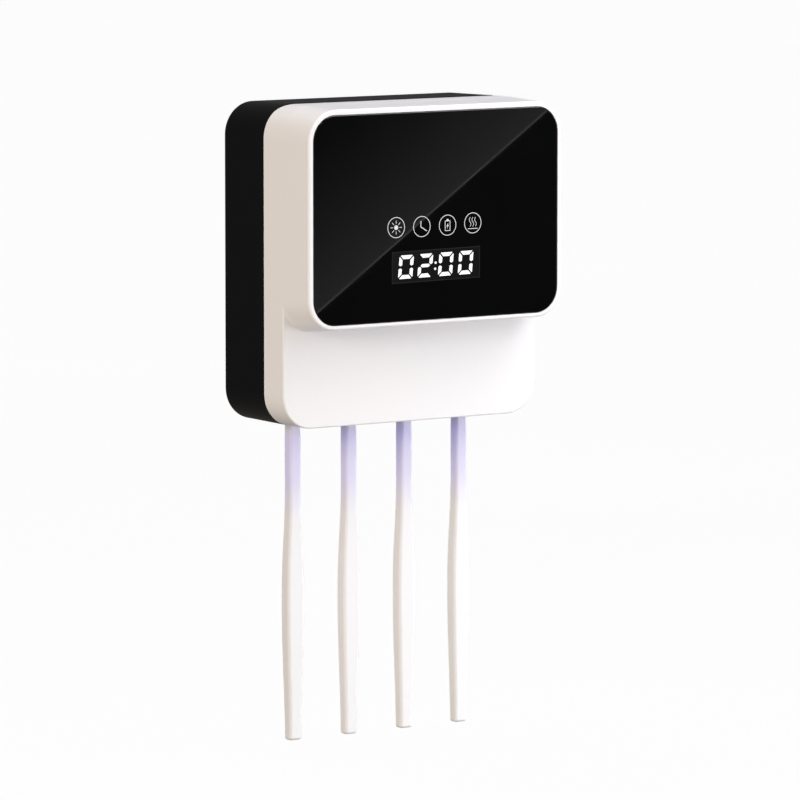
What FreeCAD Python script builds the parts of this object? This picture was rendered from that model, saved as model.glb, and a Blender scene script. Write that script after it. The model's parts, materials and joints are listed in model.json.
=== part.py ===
import FreeCAD, Part
import math
import os

# Wall-hung toothbrush sanitizer with four brushes.
# Millimetres. +X right as seen from the front, -Y out of the wall towards the user, +Z up.
# The origin is the centre of the wall bracket's back face, which lies against the wall.

V = FreeCAD.Vector

# ---- overall sizes ----
WIDTH = 150.0
HEIGHT = 157.0
CORNER_R = 16.4
WALL_GAP = 0.8            # back of the base to the wall
BASE_DEPTH = 36.0         # black base
PLATE_DEPTH = 16.9        # white cover below the display block
BLOCK_PROUD = 22.2        # display block in front of the plate
PARTING_GAP = 0.3
CUT = 1.0                 # how far a cutting tool runs past the face it opens
ROOT = 0.5                # how far a boss reaches into the wall it stands on
PLAY = 0.3                # between neighbours that are laid in without touching

BOTTOM_Z = -HEIGHT / 2
TOP_Z = HEIGHT / 2
HALF_W = WIDTH / 2
BACK_Y = -WALL_GAP
PARTING_Y = BACK_Y - BASE_DEPTH
BASE_FRONT_Y = PARTING_Y + PARTING_GAP / 2
COVER_BACK_Y = PARTING_Y - PARTING_GAP / 2
PLATE_FRONT_Y = PARTING_Y - PLATE_DEPTH
FRONT_Y = PLATE_FRONT_Y - BLOCK_PROUD

# ---- base ----
BASE_WALL = 2.4
BASE_DRAFT = 0.5          # the outline shrinks this much per side towards the wall
BACK_EDGE_R = 1.5
RIM_FLANGE = 2.6
RIM_FLANGE_T = 2.0
RIM_FLANGE_TOP = 140.0    # heights are measured from the bottom of the shell
SCREW_BOSS_R = 3.2

# ---- closing magnets at both sides, and the smaller sensor magnet: x, height, radius ----
CLOSING_MAGNETS = [(-67.2, 27, 3.0), (67.2, 27, 3.0)]
SENSOR_MAGNET = (-67.2, 112, 2.0)
BASE_MAGNET_T = 3.0
COVER_MAGNET_T = 2.5

# ---- cover ----
COVER_WALL = 2.3
PLATE_EDGE_R = 0.8
BLOCK_EDGE_R = 1.1
BLOCK_BOTTOM = 49.8
BLOCK_SLANT = 2.4         # the block's underside drops this much towards the plate
BLOCK_TOP_DRAFT = 1.0     # the block's front is this much lower at the top than the plate
BLOCK_LOW_R = 14.8
GLASS_W = 144.6
GLASS_LOW = 51.9
GLASS_HIGH = 153.3
GLASS_R = 12.6
GLASS_T = 1.8
GLASS_FIT = 0.15
GLASS_EDGE_R = 0.4
GASKET_T = 0.4
GASKET_W = 5.0
FRONT_WALL_T = 2.2
GLASS_SEAT_Y = FRONT_Y + GLASS_T + GASKET_T
FRONT_WALL_Y = GLASS_SEAT_Y + FRONT_WALL_T
INNER_T = 2.0
SEAL_T = 0.85
SEAL_W = 2.0
SEAL_TOP = 138.0
INNER_BACK_Y = COVER_BACK_Y - SEAL_T
INNER_FRONT_Y = INNER_BACK_Y - INNER_T
INNER_TOP = 149.2
COVER_BOSSES = [(-63, 11), (63, 11), (-67.3, 57.5), (67.3, 57.5), (-63, 143.6), (63, 143.6)]

# ---- cover hinge ----
HINGE_T = 4.2             # axis below the top face, and in front of the cover's back edge
HINGE_Y = COVER_BACK_Y - HINGE_T
HINGE_Z = TOP_Z - HINGE_T
KNUCKLE_R = 2.4
SKIN_IN_R = 2.7
SKIN_LOW = 3.1            # height of the lip's cut edge over a knuckle, above the axis
RIB_R = 3.0
RIB_T = 3.0
RIB_LEN = 9.0
PIN_R = 1.0
PIN_PLAY = 0.05
LUG_X = 46.0
LUG_W = 5.0
LUG_SIDE_GAP = 0.4
LUG_FOOT = 11.5           # foot of the gooseneck, below the axis
LUG_FOOT_DEPTH = 7.0
ARM_ANGLE = -62.0
ARM_HALF = 1.5
ARM_LENGTH = 10.6
NOTCH_HALF = LUG_W / 2 + LUG_SIDE_GAP + 0.4

# ---- brushes and rack ----
BRUSH_PITCH = 33.1
BRUSH_COUNT = 4
BRUSH_Y = -23.6
BRUSH_TIP = -157.4        # tip below the bottom of the shell
BRUSH_TOP = 32.6          # top of the head above the bottom of the shell
NECK_W = 6.4
NECK_D = 6.2
GRIP_W = 9.8
GRIP_D = 7.0
TIP_W = 7.1
TIP_D = 5.7
TIP_EDGE_R = 1.3
HEAD_W = 11.6
HEAD_T = 4.8
HEAD_R = 4.6
HEAD_EDGE_R = 1.2
HEAD_LOW = 8.3
BRISTLE_W = 9.0
BRISTLE_LEN = 9.6
BRISTLE_R = 3.6
BRISTLE_LOW = 4.5         # field above the head's low end, and below its top
BRISTLE_HIGH = 1.4
BASE_SLOT_W = 11.4
RACK_SLOT_W = 9.6
RACK_HALF_W = 64.0
RACK_BACK_Y = -6.5
RACK_LOW = 5.2
RACK_T = 2.0
RACK_SCREW_Y = -11.0
LIP_H = 0.8
LIP_W = 1.6

# ---- wall bracket ----
BRACKET_W = 80.0
BRACKET_H = 44.0
BRACKET_T = 2.4
BRACKET_R = 5.0
HOOK_X = 25.0
HOOK_W = 10.0
HOOK_T = 3.0
HOOK_LIP_T = 2.0
HOOK_LIP_H = 8.0
HOOK_REACH = 6.4
LIFT = 12.0
SCREW_HOLE_R = 2.2
SCREW_SPACING = 28.0
RECESS_GAP = 0.4
RECESS_SIDE_GAP = 1.5
RECESS_Y = -BRACKET_T - RECESS_GAP
BACK_INNER_Y = RECESS_Y - BASE_WALL
HOOK_SLOT_TOP = HOOK_T + PLAY
HOOK_SLOT_LOW = -LIFT - 0.8

# ---- UV lamps ----
UV_HALF_W = 57.0
UV_LOW = 15.5
UV_HIGH = 24.5
UV_REBATE = 1.5
UV_WINDOW_T = 1.2
UV_BOARD_Y = -44.6
UV_BOARD_HALF_W = 60.0
UV_BOARD_MARGIN = 7.5
UV_SCREW_MARGIN = 5.0
UV_LAMP_OFFSET = 5.0      # each brush has a lamp on either side of its centre line

# ---- fan and heater ----
FAN_X = 38.0
FAN_H = 74.0
FAN_SIZE = 30.0
FAN_BACK_Y = -44.2
FAN_T = 10.0
FAN_BORE_R = 13.6
FAN_SCREW = 12.0
FAN_HUB_R = 7.0
FAN_HUB_T = 1.2
SHAFT_R = 0.75
SHAFT_PLAY = 0.04
FAN_BLADES = 7
VENT_COUNT = 5
OUTLET_COUNT = 7
OUTLET_PITCH = 3.4
OUTLET_HALF_W = 9.0

# ---- display ----
WINDOW_LOW = 66.0
WINDOW_HIGH = 106.0
WINDOW_HALF_W = 31.0
ICON_COUNT = 4
ICON_PITCH = 15.12
ICON_X = -23.5
ICON_H = 97.5
ICON_R = 5.3
DIGIT_XS = [-17.6, -6.1, 6.0, 17.4]
DIGIT_H = 78.4
DISPLAY_GAP = 0.1         # behind the glass
BOARD_T = 1.6
DISPLAY_BOARD_Y = FRONT_Y + 8.8
DISPLAY_POSTS = [(-35, 69), (35, 69), (-35, 103), (35, 103)]

# ---- main board and charge port ----
MAIN_BOARD_Y = -58.0
MAIN_LEFT = -62.0
MAIN_RIGHT = 70.4
MAIN_LOW = 96.0
MAIN_HIGH = 138.0
MAIN_POSTS = [(-56, 100), (56, 100), (-56, 134), (56, 134)]
SOLDER = 0.1              # depth by which a chip is sunk into its board
BUZZER_X = -38.0
BUZZER_H = 112.0
PORT_H = 110.0
PORT_FACE_X = 73.2
PORT_LEN = 8.0
PORT_W = 8.94
PORT_T = 3.16
PORT_SKIN = 0.3
PORT_Y = MAIN_BOARD_Y + BOARD_T + 1.6
PORT_CAP_W = 12.6
PORT_CAP_H = 6.6
PORT_CAP_T = 1.3

# ---- battery ----
CELL_R = 9.2
CELL_LEN = 65.0
CELL_X = -27.5
CELL_H = 66.5
CELL_Y = INNER_FRONT_Y - 1.2 - CELL_R
CELL_END_GAP = 2.2


def up(height):
    """Z of a height above the bottom of the shell."""
    return BOTTOM_Z + height


def box(x0, x1, y0, y1, z0, z1):
    return Part.makeBox(x1 - x0, y1 - y0, z1 - z0, V(x0, y0, z0))


def plain_plate(half_w, y0, y1, low, high):
    """Box centred on X between two heights."""
    return box(-half_w, half_w, y0, y1, up(low), up(high))


def square_rod(x, z, half, y0, y1):
    """Box along Y with a square section."""
    return box(x - half, x + half, y0, y1, z - half, z + half)


def disc_y(x, z, r, y0, y1):
    """Cylinder along Y."""
    return Part.makeCylinder(r, y1 - y0, V(x, y0, z), V(0, 1, 0))


def disc_x(y, z, r, x0, x1):
    """Cylinder along X."""
    return Part.makeCylinder(r, x1 - x0, V(x0, y, z), V(1, 0, 0))


def disc_z(x, y, r, z0, z1):
    """Cylinder along Z."""
    return Part.makeCylinder(r, z1 - z0, V(x, y, z0), V(0, 0, 1))


def corner_points(cx, cz, r, start):
    """Start, middle and end of a quarter turn, anticlockwise from start degrees."""
    angles = [math.radians(start + step) for step in (0, 45, 90)]
    return [(cx + r * math.cos(a), cz + r * math.sin(a)) for a in angles]


def round_wire(x0, x1, z0, z1, r_low, r_high, y):
    """Rounded rectangle in an XZ plane, with its own radius at the low and high corners."""
    corners = [
        corner_points(x1 - r_low, z0 + r_low, r_low, -90),
        corner_points(x1 - r_high, z1 - r_high, r_high, 0),
        corner_points(x0 + r_high, z1 - r_high, r_high, 90),
        corner_points(x0 + r_low, z0 + r_low, r_low, 180),
    ]
    edges = []
    for index, points in enumerate(corners):
        start, middle, end = [V(px, y, pz) for px, pz in points]
        edges.append(Part.Arc(start, middle, end).toShape())
        following = corners[(index + 1) % len(corners)][0]
        edges.append(Part.makeLine(end, V(following[0], y, following[1])))
    return Part.Wire(edges)


def round_prism(x0, x1, z0, z1, r, y0, y1):
    """Rounded rectangle extruded along Y."""
    face = Part.Face(round_wire(x0, x1, z0, z1, r, r, y0))
    return face.extrude(V(0, y1 - y0, 0))


def inset_wire(inset, y):
    """The shell's outline, set in by the same amount all round."""
    r = CORNER_R - inset
    return round_wire(-HALF_W + inset, HALF_W - inset, BOTTOM_Z + inset, TOP_Z - inset, r, r, y)


def inset_prism(inset, y0, y1):
    return Part.Face(inset_wire(inset, y0)).extrude(V(0, y1 - y0, 0))


def u_strip(inset, width, y0, y1, top):
    """Strip inside the shell's outline, along both sides and the bottom up to a height."""
    ring = inset_prism(inset, y0, y1).cut(inset_prism(inset + width, y0 - CUT, y1 + CUT))
    return ring.cut(plain_plate(HALF_W, y0 - CUT, y1 + CUT, top, HEIGHT + CUT))


def slot_x(y, z, length, width, x0, x1):
    """Obround, long along Z, extruded along X."""
    r = width / 2
    half = length / 2 - r
    body = box(x0, x1, y - r, y + r, z - half, z + half)
    return body.fuse([disc_x(y, z - half, r, x0, x1), disc_x(y, z + half, r, x0, x1)]).removeSplitter()


def flat_slot_x(y, z, length, width, x0, x1):
    """Obround, long along Y, extruded along X."""
    r = width / 2
    half = length / 2 - r
    body = box(x0, x1, y - half, y + half, z - r, z + r)
    return body.fuse([disc_x(y - half, z, r, x0, x1), disc_x(y + half, z, r, x0, x1)]).removeSplitter()


def ring_edges(shape, y, tolerance=0.01):
    """Edges that lie wholly in the plane at y."""
    found = []
    for edge in shape.Edges:
        limits = edge.BoundBox
        if abs(limits.YMin - y) < tolerance and abs(limits.YMax - y) < tolerance:
            found.append(edge)
    return found


def spread(count, pitch):
    """Evenly spaced offsets about zero."""
    return [(index - (count - 1) / 2) * pitch for index in range(count)]


def brush_xs():
    return spread(BRUSH_COUNT, BRUSH_PITCH)


def between_brush_xs():
    """Midway between the brushes, where the small screws go."""
    return spread(BRUSH_COUNT - 1, BRUSH_PITCH)


def fuse_all(shapes):
    return shapes[0].fuse(shapes[1:]).removeSplitter()


def cut_all(shape, tools):
    return shape.cut(tools).removeSplitter()


def save(name, shapes):
    """Write one node: a single solid, or a group of separate ones."""
    solids = []
    for shape in shapes if isinstance(shapes, list) else [shapes]:
        solids += shape.Solids
    for solid in solids:
        if not solid.isValid():
            raise ValueError(name + " has a solid that isn't valid")
    shape = solids[0] if len(solids) == 1 else Part.makeCompound(solids)
    shape.exportStep("parts/" + name + ".step")
    print(name, len(solids), round(sum(solid.Volume for solid in solids), 1))


# ---------------------------------------------------------------- wall side

def wall_bracket():
    half_w = BRACKET_W / 2
    half_h = BRACKET_H / 2
    plate = round_prism(-half_w, half_w, -half_h, half_h, BRACKET_R, -BRACKET_T, 0)
    hooks = []
    for side in (-1, 1):
        x0 = side * HOOK_X - HOOK_W / 2
        x1 = x0 + HOOK_W
        tip = -BRACKET_T - HOOK_REACH
        hooks.append(box(x0, x1, tip, -BRACKET_T / 2, 0, HOOK_T))
        hooks.append(box(x0, x1, tip, tip + HOOK_LIP_T, 0, HOOK_T + HOOK_LIP_H))
    body = fuse_all([plate] + hooks)
    cuts = adhesive_pads()
    head_r = 2 * SCREW_HOLE_R
    for side in (-1, 1):
        z = side * SCREW_SPACING / 2
        cuts.append(disc_y(0, z, SCREW_HOLE_R, -BRACKET_T - CUT, CUT))
        cuts.append(disc_y(0, z, head_r, -BRACKET_T - CUT, -BRACKET_T / 2))
    return cut_all(body, cuts)


def adhesive_pads():
    """The two pads, let into the bracket's back face."""
    x_in, x_out, half_h, thick, r = 10.5, 37.0, 18.0, 1.0, 3.0
    return [round_prism(-x_out, -x_in, -half_h, half_h, r, -thick, 0),
            round_prism(x_in, x_out, -half_h, half_h, r, -thick, 0)]


# ---------------------------------------------------------------- base

def hinge_lug(side):
    """Gooseneck from the base's top wall to the hinge axis."""
    x0 = side * LUG_X - LUG_W / 2
    x1 = x0 + LUG_W
    knuckle = disc_x(HINGE_Y, HINGE_Z, KNUCKLE_R, x0, x1)
    arm = box(x0, x1, 0, ARM_LENGTH, -ARM_HALF, ARM_HALF)
    arm.rotate(V(0, 0, 0), V(1, 0, 0), ARM_ANGLE)
    arm.translate(V(0, HINGE_Y, HINGE_Z))
    foot_top = TOP_Z - BASE_WALL + ROOT
    foot = box(x0, x1, BASE_FRONT_Y, BASE_FRONT_Y + LUG_FOOT_DEPTH, HINGE_Z - LUG_FOOT, foot_top)
    bore = disc_x(HINGE_Y, HINGE_Z, PIN_R + PIN_PLAY, x0 - CUT, x1 + CUT)
    return cut_all(fuse_all([knuckle, arm, foot]), [bore])


def base_blank():
    """Open box that narrows a little towards the wall."""
    outer = Part.makeLoft([inset_wire(0, BASE_FRONT_Y), inset_wire(BASE_DRAFT, BACK_Y)], True, True)
    outer = outer.makeFillet(BACK_EDGE_R, ring_edges(outer, BACK_Y))
    skim = 0.01
    inner = Part.makeLoft([inset_wire(BASE_WALL, BASE_FRONT_Y - skim),
                           inset_wire(BASE_WALL + BASE_DRAFT, BACK_Y - BASE_WALL)], True, True)
    return outer.cut(inner)


def rim_flange():
    """Inward flange behind the front edge, for the cover's seal."""
    into_wall = 0.6
    return u_strip(BASE_WALL - into_wall, into_wall + RIM_FLANGE, BASE_FRONT_Y,
                   BASE_FRONT_Y + RIM_FLANGE_T, RIM_FLANGE_TOP)


def magnet_boss(magnet):
    x, height, r = magnet
    depth = 5.0
    half = r + 1.4
    side = 1 if x > 0 else -1
    ends = sorted([x - side * half, side * (HALF_W - BASE_WALL / 2)])
    return box(ends[0], ends[1], BASE_FRONT_Y, BASE_FRONT_Y + depth, up(height) - half, up(height) + half)


def base_magnet(magnet):
    x, height, r = magnet
    return disc_y(x, up(height), r, BASE_FRONT_Y, BASE_FRONT_Y + BASE_MAGNET_T)


def slot_cut(x, width, y_front, z0, z1):
    """Slot for a brush neck, open at the front and round at the back."""
    r = width / 2
    run = box(x - r, x + r, y_front - CUT, BRUSH_Y, z0, z1)
    return run.fuse(disc_z(x, BRUSH_Y, r, z0, z1))


def bracket_recess(wall, y0, y1):
    """Room for the bracket in the base's back, with the extra height for hooking on."""
    half_w = BRACKET_W / 2 + RECESS_SIDE_GAP + wall
    low = -BRACKET_H / 2 - LIFT - RECESS_SIDE_GAP - wall
    high = BRACKET_H / 2 + RECESS_SIDE_GAP + wall
    return round_prism(-half_w, half_w, low, high, BRACKET_R + wall, y0, y1)


def hook_pocket(side, wall, y_open, top):
    """Space a hook moves in while the unit is lifted on or off."""
    play = 0.6
    y_tip = -BRACKET_T - HOOK_REACH - 0.8
    half = HOOK_W / 2 + play + wall
    x = side * HOOK_X
    return box(x - half, x + half, y_tip - wall, y_open, HOOK_SLOT_LOW - wall, top + wall)


def rear_shell():
    pocket_wall = 1.8
    pocket_top = HOOK_T + HOOK_LIP_H + 0.6
    adds = [bracket_recess(BASE_WALL, BACK_INNER_Y, BACK_Y - BASE_WALL / 2), rim_flange()]
    cuts = [bracket_recess(0, RECESS_Y, CUT)]
    for side in (-1, 1):
        adds.append(hook_pocket(side, pocket_wall, BACK_INNER_Y + CUT, pocket_top))
        cuts.append(hook_pocket(side, 0, BACK_INNER_Y, pocket_top))
        cuts.append(hook_pocket(side, 0, RECESS_Y + CUT, HOOK_SLOT_TOP))
        adds.append(hinge_lug(side))
        cuts.append(bumper_pad(side))
    for magnet in CLOSING_MAGNETS + [SENSOR_MAGNET]:
        adds.append(magnet_boss(magnet))
        cuts.append(base_magnet(magnet))
    pilot_r = 1.0
    for x in between_brush_xs():
        adds.append(disc_z(x, RACK_SCREW_Y, SCREW_BOSS_R, BOTTOM_Z + BASE_WALL / 2, up(RACK_LOW)))
        cuts.append(disc_z(x, RACK_SCREW_Y, pilot_r, BOTTOM_Z + BASE_WALL / 2, up(RACK_LOW) + CUT))
    for x in brush_xs():
        cuts.append(slot_cut(x, BASE_SLOT_W, BASE_FRONT_Y, BOTTOM_Z - CUT, up(RACK_LOW)))
    return cut_all(fuse_all([base_blank()] + adds), cuts)


def bumper_pad(side):
    """Rubber pad near a bottom corner of the back, which keeps the unit upright on the wall."""
    pad_r, pad_x, pad_height, sunk, proud = 5.0, 58.0, 16.0, 1.0, 0.6
    return disc_y(side * pad_x, up(pad_height), pad_r, BACK_Y - sunk, BACK_Y + proud)


def brush_rack():
    corner_r, back_edge_h, back_edge_t = 4.0, 9.0, 1.6
    z0 = up(RACK_LOW)
    z1 = z0 + RACK_T
    y_front = BASE_FRONT_Y + RIM_FLANGE_T + 0.4
    plate = box(-RACK_HALF_W, RACK_HALF_W, y_front, RACK_BACK_Y, z0, z1)
    plate = plate.makeFillet(corner_r, [e for e in plate.Edges if e.BoundBox.ZLength > RACK_T / 2])
    edge_half = RACK_HALF_W - corner_r
    adds = [plate, box(-edge_half, edge_half, RACK_BACK_Y - back_edge_t, RACK_BACK_Y, z0, z0 + back_edge_h)]
    cuts = []
    for x in brush_xs():
        adds.append(slot_cut(x, RACK_SLOT_W + 2 * LIP_W, y_front + CUT, z0, z1 + LIP_H))
        cuts.append(slot_cut(x, RACK_SLOT_W, y_front, z0 - CUT, z1 + LIP_H + CUT))
    hole_r = 1.4
    for x in between_brush_xs():
        cuts.append(disc_z(x, RACK_SCREW_Y, hole_r, z0 - CUT, z1 + CUT))
    return cut_all(fuse_all(adds), cuts)


def pan_screw(head_r, head_h, shank_r, shank_len):
    """Pan-head screw along +Z: the shank hangs below the origin and the head stands on it."""
    deep = head_h * 0.45
    arm = head_r * 0.6
    half = head_r * 0.15
    head = Part.makeCylinder(head_r, head_h)
    head = head.makeFillet(deep, [e for e in head.Edges if e.BoundBox.ZMin > head_h / 2])
    shank = Part.makeCylinder(shank_r, shank_len, V(0, 0, -shank_len))
    cross = [box(-arm, arm, -half, half, head_h - deep, head_h + CUT),
             box(-half, half, -arm, arm, head_h - deep, head_h + CUT)]
    return head.fuse(shank).cut(cross).removeSplitter()


def place_screws(screw, positions, outward):
    """Copies of a screw with their heads at the positions, standing towards outward."""
    copies = []
    for position in positions:
        copy = screw.copy()
        copy.Placement = FreeCAD.Placement(V(*position), FreeCAD.Rotation(V(0, 0, 1), V(*outward)))
        copies.append(copy)
    return copies


def rack_screws():
    screw = pan_screw(head_r=2.2, head_h=1.5, shank_r=0.95, shank_len=5.4)
    z = up(RACK_LOW) + RACK_T
    return place_screws(screw, [(x, RACK_SCREW_Y, z) for x in between_brush_xs()], (0, 0, 1))


def reflector_sheet():
    """Bright sheet on the back of the chamber, behind the brush heads."""
    half_w, low, high, thick, r = 60.0, 16.0, 39.0, 0.5, 3.0
    y1 = BACK_Y - BASE_WALL
    return round_prism(-half_w, half_w, up(low), up(high), r, y1 - thick, y1)


# ---------------------------------------------------------------- cover

def hinge_profile(segments, x0, x1):
    """Closed outline extruded along X. Each segment is a line or, with three points, an arc.

    Points are (y, z) distances from the hinge axis.
    """
    edges = []
    for points in segments:
        ends = [V(x0, HINGE_Y + py, HINGE_Z + pz) for py, pz in points]
        if len(ends) == 3:
            edges.append(Part.Arc(*ends).toShape())
        else:
            edges.append(Part.makeLine(*ends))
    return Part.Face(Part.Wire(edges)).extrude(V(x1 - x0, 0, 0))


def arc_points(r, start, end):
    """Start, middle and end of an arc about the hinge axis, in degrees up from +Y."""
    angles = [math.radians(a) for a in (start, (start + end) / 2, end)]
    return tuple((r * math.cos(a), r * math.sin(a)) for a in angles)


def full_lip(x0, x1):
    """Top wall rolled round the hinge axis and carried down to the inner cover."""
    outer = arc_points(HINGE_T, 90, 0)
    inner = arc_points(SKIN_IN_R, 0, 90)
    above_cover = 0.2
    low = up(INNER_TOP) + above_cover - HINGE_Z
    return hinge_profile([
        outer,
        (outer[2], (HINGE_T, low)),
        ((HINGE_T, low), (SKIN_IN_R, low)),
        ((SKIN_IN_R, low), inner[0]),
        inner,
        (inner[2], outer[0]),
    ], x0, x1)


def short_lip(x0, x1):
    """The lip over a knuckle: only its top, so that the gooseneck can pass under it."""
    outer = arc_points(HINGE_T, 90, math.degrees(math.asin(SKIN_LOW / HINGE_T)))
    return hinge_profile([
        outer,
        (outer[2], (0, SKIN_LOW)),
        ((0, SKIN_LOW), outer[0]),
    ], x0, x1)


def cover_lip():
    x_end = HALF_W - CORNER_R
    gap_in = LUG_X - NOTCH_HALF
    gap_out = LUG_X + NOTCH_HALF
    return [full_lip(-x_end, -gap_out), short_lip(-gap_out, -gap_in), full_lip(-gap_in, gap_in),
            short_lip(gap_in, gap_out), full_lip(gap_out, x_end)]


def corner_rounding(x0, x1):
    """What the swing takes off a top corner of the shell: all outside the lip's radius."""
    arc = arc_points(HINGE_T, 90, 0)
    far = HINGE_T + CUT
    return hinge_profile([
        arc,
        (arc[2], (far, 0)),
        ((far, 0), (far, far)),
        ((far, far), (0, far)),
        ((0, far), arc[0]),
    ], x0, x1)


def block_wire(low, high, y):
    return round_wire(-HALF_W, HALF_W, low, high, BLOCK_LOW_R, CORNER_R, y)


def cover_outer():
    """Plate with the display block standing out of its upper part."""
    plate = inset_prism(0, PLATE_FRONT_Y, COVER_BACK_Y)
    plate = plate.makeFillet(PLATE_EDGE_R, ring_edges(plate, PLATE_FRONT_Y))
    inside = 3.0
    extra = BLOCK_SLANT * inside / BLOCK_PROUD
    block = Part.makeLoft([
        block_wire(up(BLOCK_BOTTOM), TOP_Z - BLOCK_TOP_DRAFT, FRONT_Y),
        block_wire(up(BLOCK_BOTTOM - BLOCK_SLANT) - extra, TOP_Z, PLATE_FRONT_Y + inside),
    ], True, True)
    block = block.makeFillet(BLOCK_EDGE_R, ring_edges(block, FRONT_Y))
    return plate.fuse(block)


def cover_cavity():
    plate_part = inset_prism(COVER_WALL, PLATE_FRONT_Y + COVER_WALL, COVER_BACK_Y + CUT)
    half_w = HALF_W - COVER_WALL
    r = CORNER_R - COVER_WALL - 1.0
    block_part = round_prism(-half_w, half_w, up(BLOCK_BOTTOM) + COVER_WALL, TOP_Z - COVER_WALL, r,
                             FRONT_WALL_Y, PLATE_FRONT_Y + COVER_WALL + CUT)
    return plate_part.fuse(block_part)


def hollow_shell():
    """Outer skin with its top edge cleared for the rolled lip."""
    x_end = HALF_W - CORNER_R
    body = cover_outer().cut(cover_cavity())
    tools = [
        box(-x_end, x_end, HINGE_Y, COVER_BACK_Y + CUT, up(INNER_TOP), TOP_Z + CUT),
        corner_rounding(-HALF_W - CUT, -x_end),
        corner_rounding(x_end, HALF_W + CUT),
    ]
    for tool in tools:
        body = body.cut(tool)
    return body


def shell_bosses():
    """Bosses for the inner cover's and the display board's screws, with their pilot holes."""
    boss_r, boss_pilot, boss_deep = 3.0, 1.1, 9.0
    post_r, post_pilot, post_deep = 2.3, 0.8, 4.0
    adds, cuts = [], []
    for x, height in COVER_BOSSES:
        y_start = FRONT_WALL_Y if height > BLOCK_BOTTOM else PLATE_FRONT_Y + COVER_WALL
        adds.append(disc_y(x, up(height), boss_r, y_start - ROOT, INNER_FRONT_Y))
        cuts.append(disc_y(x, up(height), boss_pilot, INNER_FRONT_Y - boss_deep, INNER_FRONT_Y + CUT))
    for x, height in DISPLAY_POSTS:
        adds.append(disc_y(x, up(height), post_r, FRONT_WALL_Y - ROOT, DISPLAY_BOARD_Y))
        cuts.append(disc_y(x, up(height), post_pilot, DISPLAY_BOARD_Y - post_deep, DISPLAY_BOARD_Y + CUT))
    return adds, cuts


def shell_hinge(side):
    """Two ribs that hold the pin, and the thinner wall over the knuckle between them."""
    lug = side * LUG_X
    half = LUG_W / 2 + LUG_SIDE_GAP
    bore_past, knuckle_gap, behind = 0.2, 0.6, 0.2
    adds, cuts = [], []
    for hand in (-1, 1):
        x0, x1 = sorted([lug + hand * half, lug + hand * (half + RIB_T)])
        adds.append(disc_x(HINGE_Y, HINGE_Z, RIB_R, x0, x1))
        adds.append(box(x0, x1, HINGE_Y - RIB_LEN, HINGE_Y, HINGE_Z - SKIN_IN_R, TOP_Z - COVER_WALL + ROOT))
        cuts.append(disc_x(HINGE_Y, HINGE_Z, PIN_R, x0 - bore_past, x1 + bore_past))
    cuts.append(box(lug - half, lug + half, HINGE_Y - KNUCKLE_R - knuckle_gap, HINGE_Y + behind,
                    HINGE_Z - HINGE_T, HINGE_Z + SKIN_LOW))
    return adds, cuts


def display_openings():
    """Seat of the glass, and the window behind it."""
    half = GLASS_W / 2 + GLASS_FIT
    window_r = 2.0
    return [
        round_prism(-half, half, up(GLASS_LOW) - GLASS_FIT, up(GLASS_HIGH) + GLASS_FIT,
                    GLASS_R + GLASS_FIT, FRONT_Y - CUT, GLASS_SEAT_Y),
        round_prism(-WINDOW_HALF_W, WINDOW_HALF_W, up(WINDOW_LOW), up(WINDOW_HIGH), window_r,
                    GLASS_SEAT_Y - CUT, FRONT_WALL_Y + ROOT),
    ]


def intake_slots():
    """Air intake in the right side of the display block, beside the fan."""
    pitch, slot_h, slot_len, y_mid = 4.6, 1.8, 13.0, -61.0
    x0 = HALF_W - COVER_WALL - CUT
    return [flat_slot_x(y_mid, up(FAN_H) + dz, slot_len, slot_h, x0, HALF_W + CUT)
            for dz in spread(VENT_COUNT, pitch)]


def port_pad():
    """Thicker wall round the charge port."""
    half_y, half_z, thick = 5.0, 8.5, 1.8
    x1 = HALF_W - COVER_WALL
    return box(x1 - thick, x1 + ROOT, PORT_Y - half_y, PORT_Y + half_y,
               up(PORT_H) - half_z, up(PORT_H) + half_z)


def port_openings():
    """Hole for the receptacle, and the plug's seat round it."""
    hole_play, seat_play = 0.45, 0.6
    return [
        slot_x(PORT_Y, up(PORT_H), PORT_W + hole_play, PORT_T + hole_play, HALF_W - 6, HALF_W + CUT),
        slot_x(PORT_Y, up(PORT_H), PORT_CAP_W + seat_play, PORT_CAP_H + seat_play,
               HALF_W - PORT_CAP_T - PLAY, HALF_W + CUT),
    ]


def front_shell():
    adds = cover_lip() + [port_pad()]
    cuts = display_openings() + intake_slots() + port_openings()
    for added, cut in (shell_bosses(), shell_hinge(-1), shell_hinge(1)):
        adds += added
        cuts += cut
    return cut_all(fuse_all([hollow_shell()] + adds), cuts)


def display_glass():
    half_w = GLASS_W / 2
    pane = round_prism(-half_w, half_w, up(GLASS_LOW), up(GLASS_HIGH), GLASS_R, FRONT_Y, FRONT_Y + GLASS_T)
    return pane.makeFillet(GLASS_EDGE_R, ring_edges(pane, FRONT_Y))


def gasket_prism(inset, y0, y1):
    half_w = GLASS_W / 2 - inset
    return round_prism(-half_w, half_w, up(GLASS_LOW) + inset, up(GLASS_HIGH) - inset,
                       GLASS_R - inset, y0, y1)


def glass_gasket():
    y0 = FRONT_Y + GLASS_T
    return gasket_prism(PLAY, y0, GLASS_SEAT_Y).cut(gasket_prism(GASKET_W, y0 - CUT, GLASS_SEAT_Y + CUT))


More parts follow.
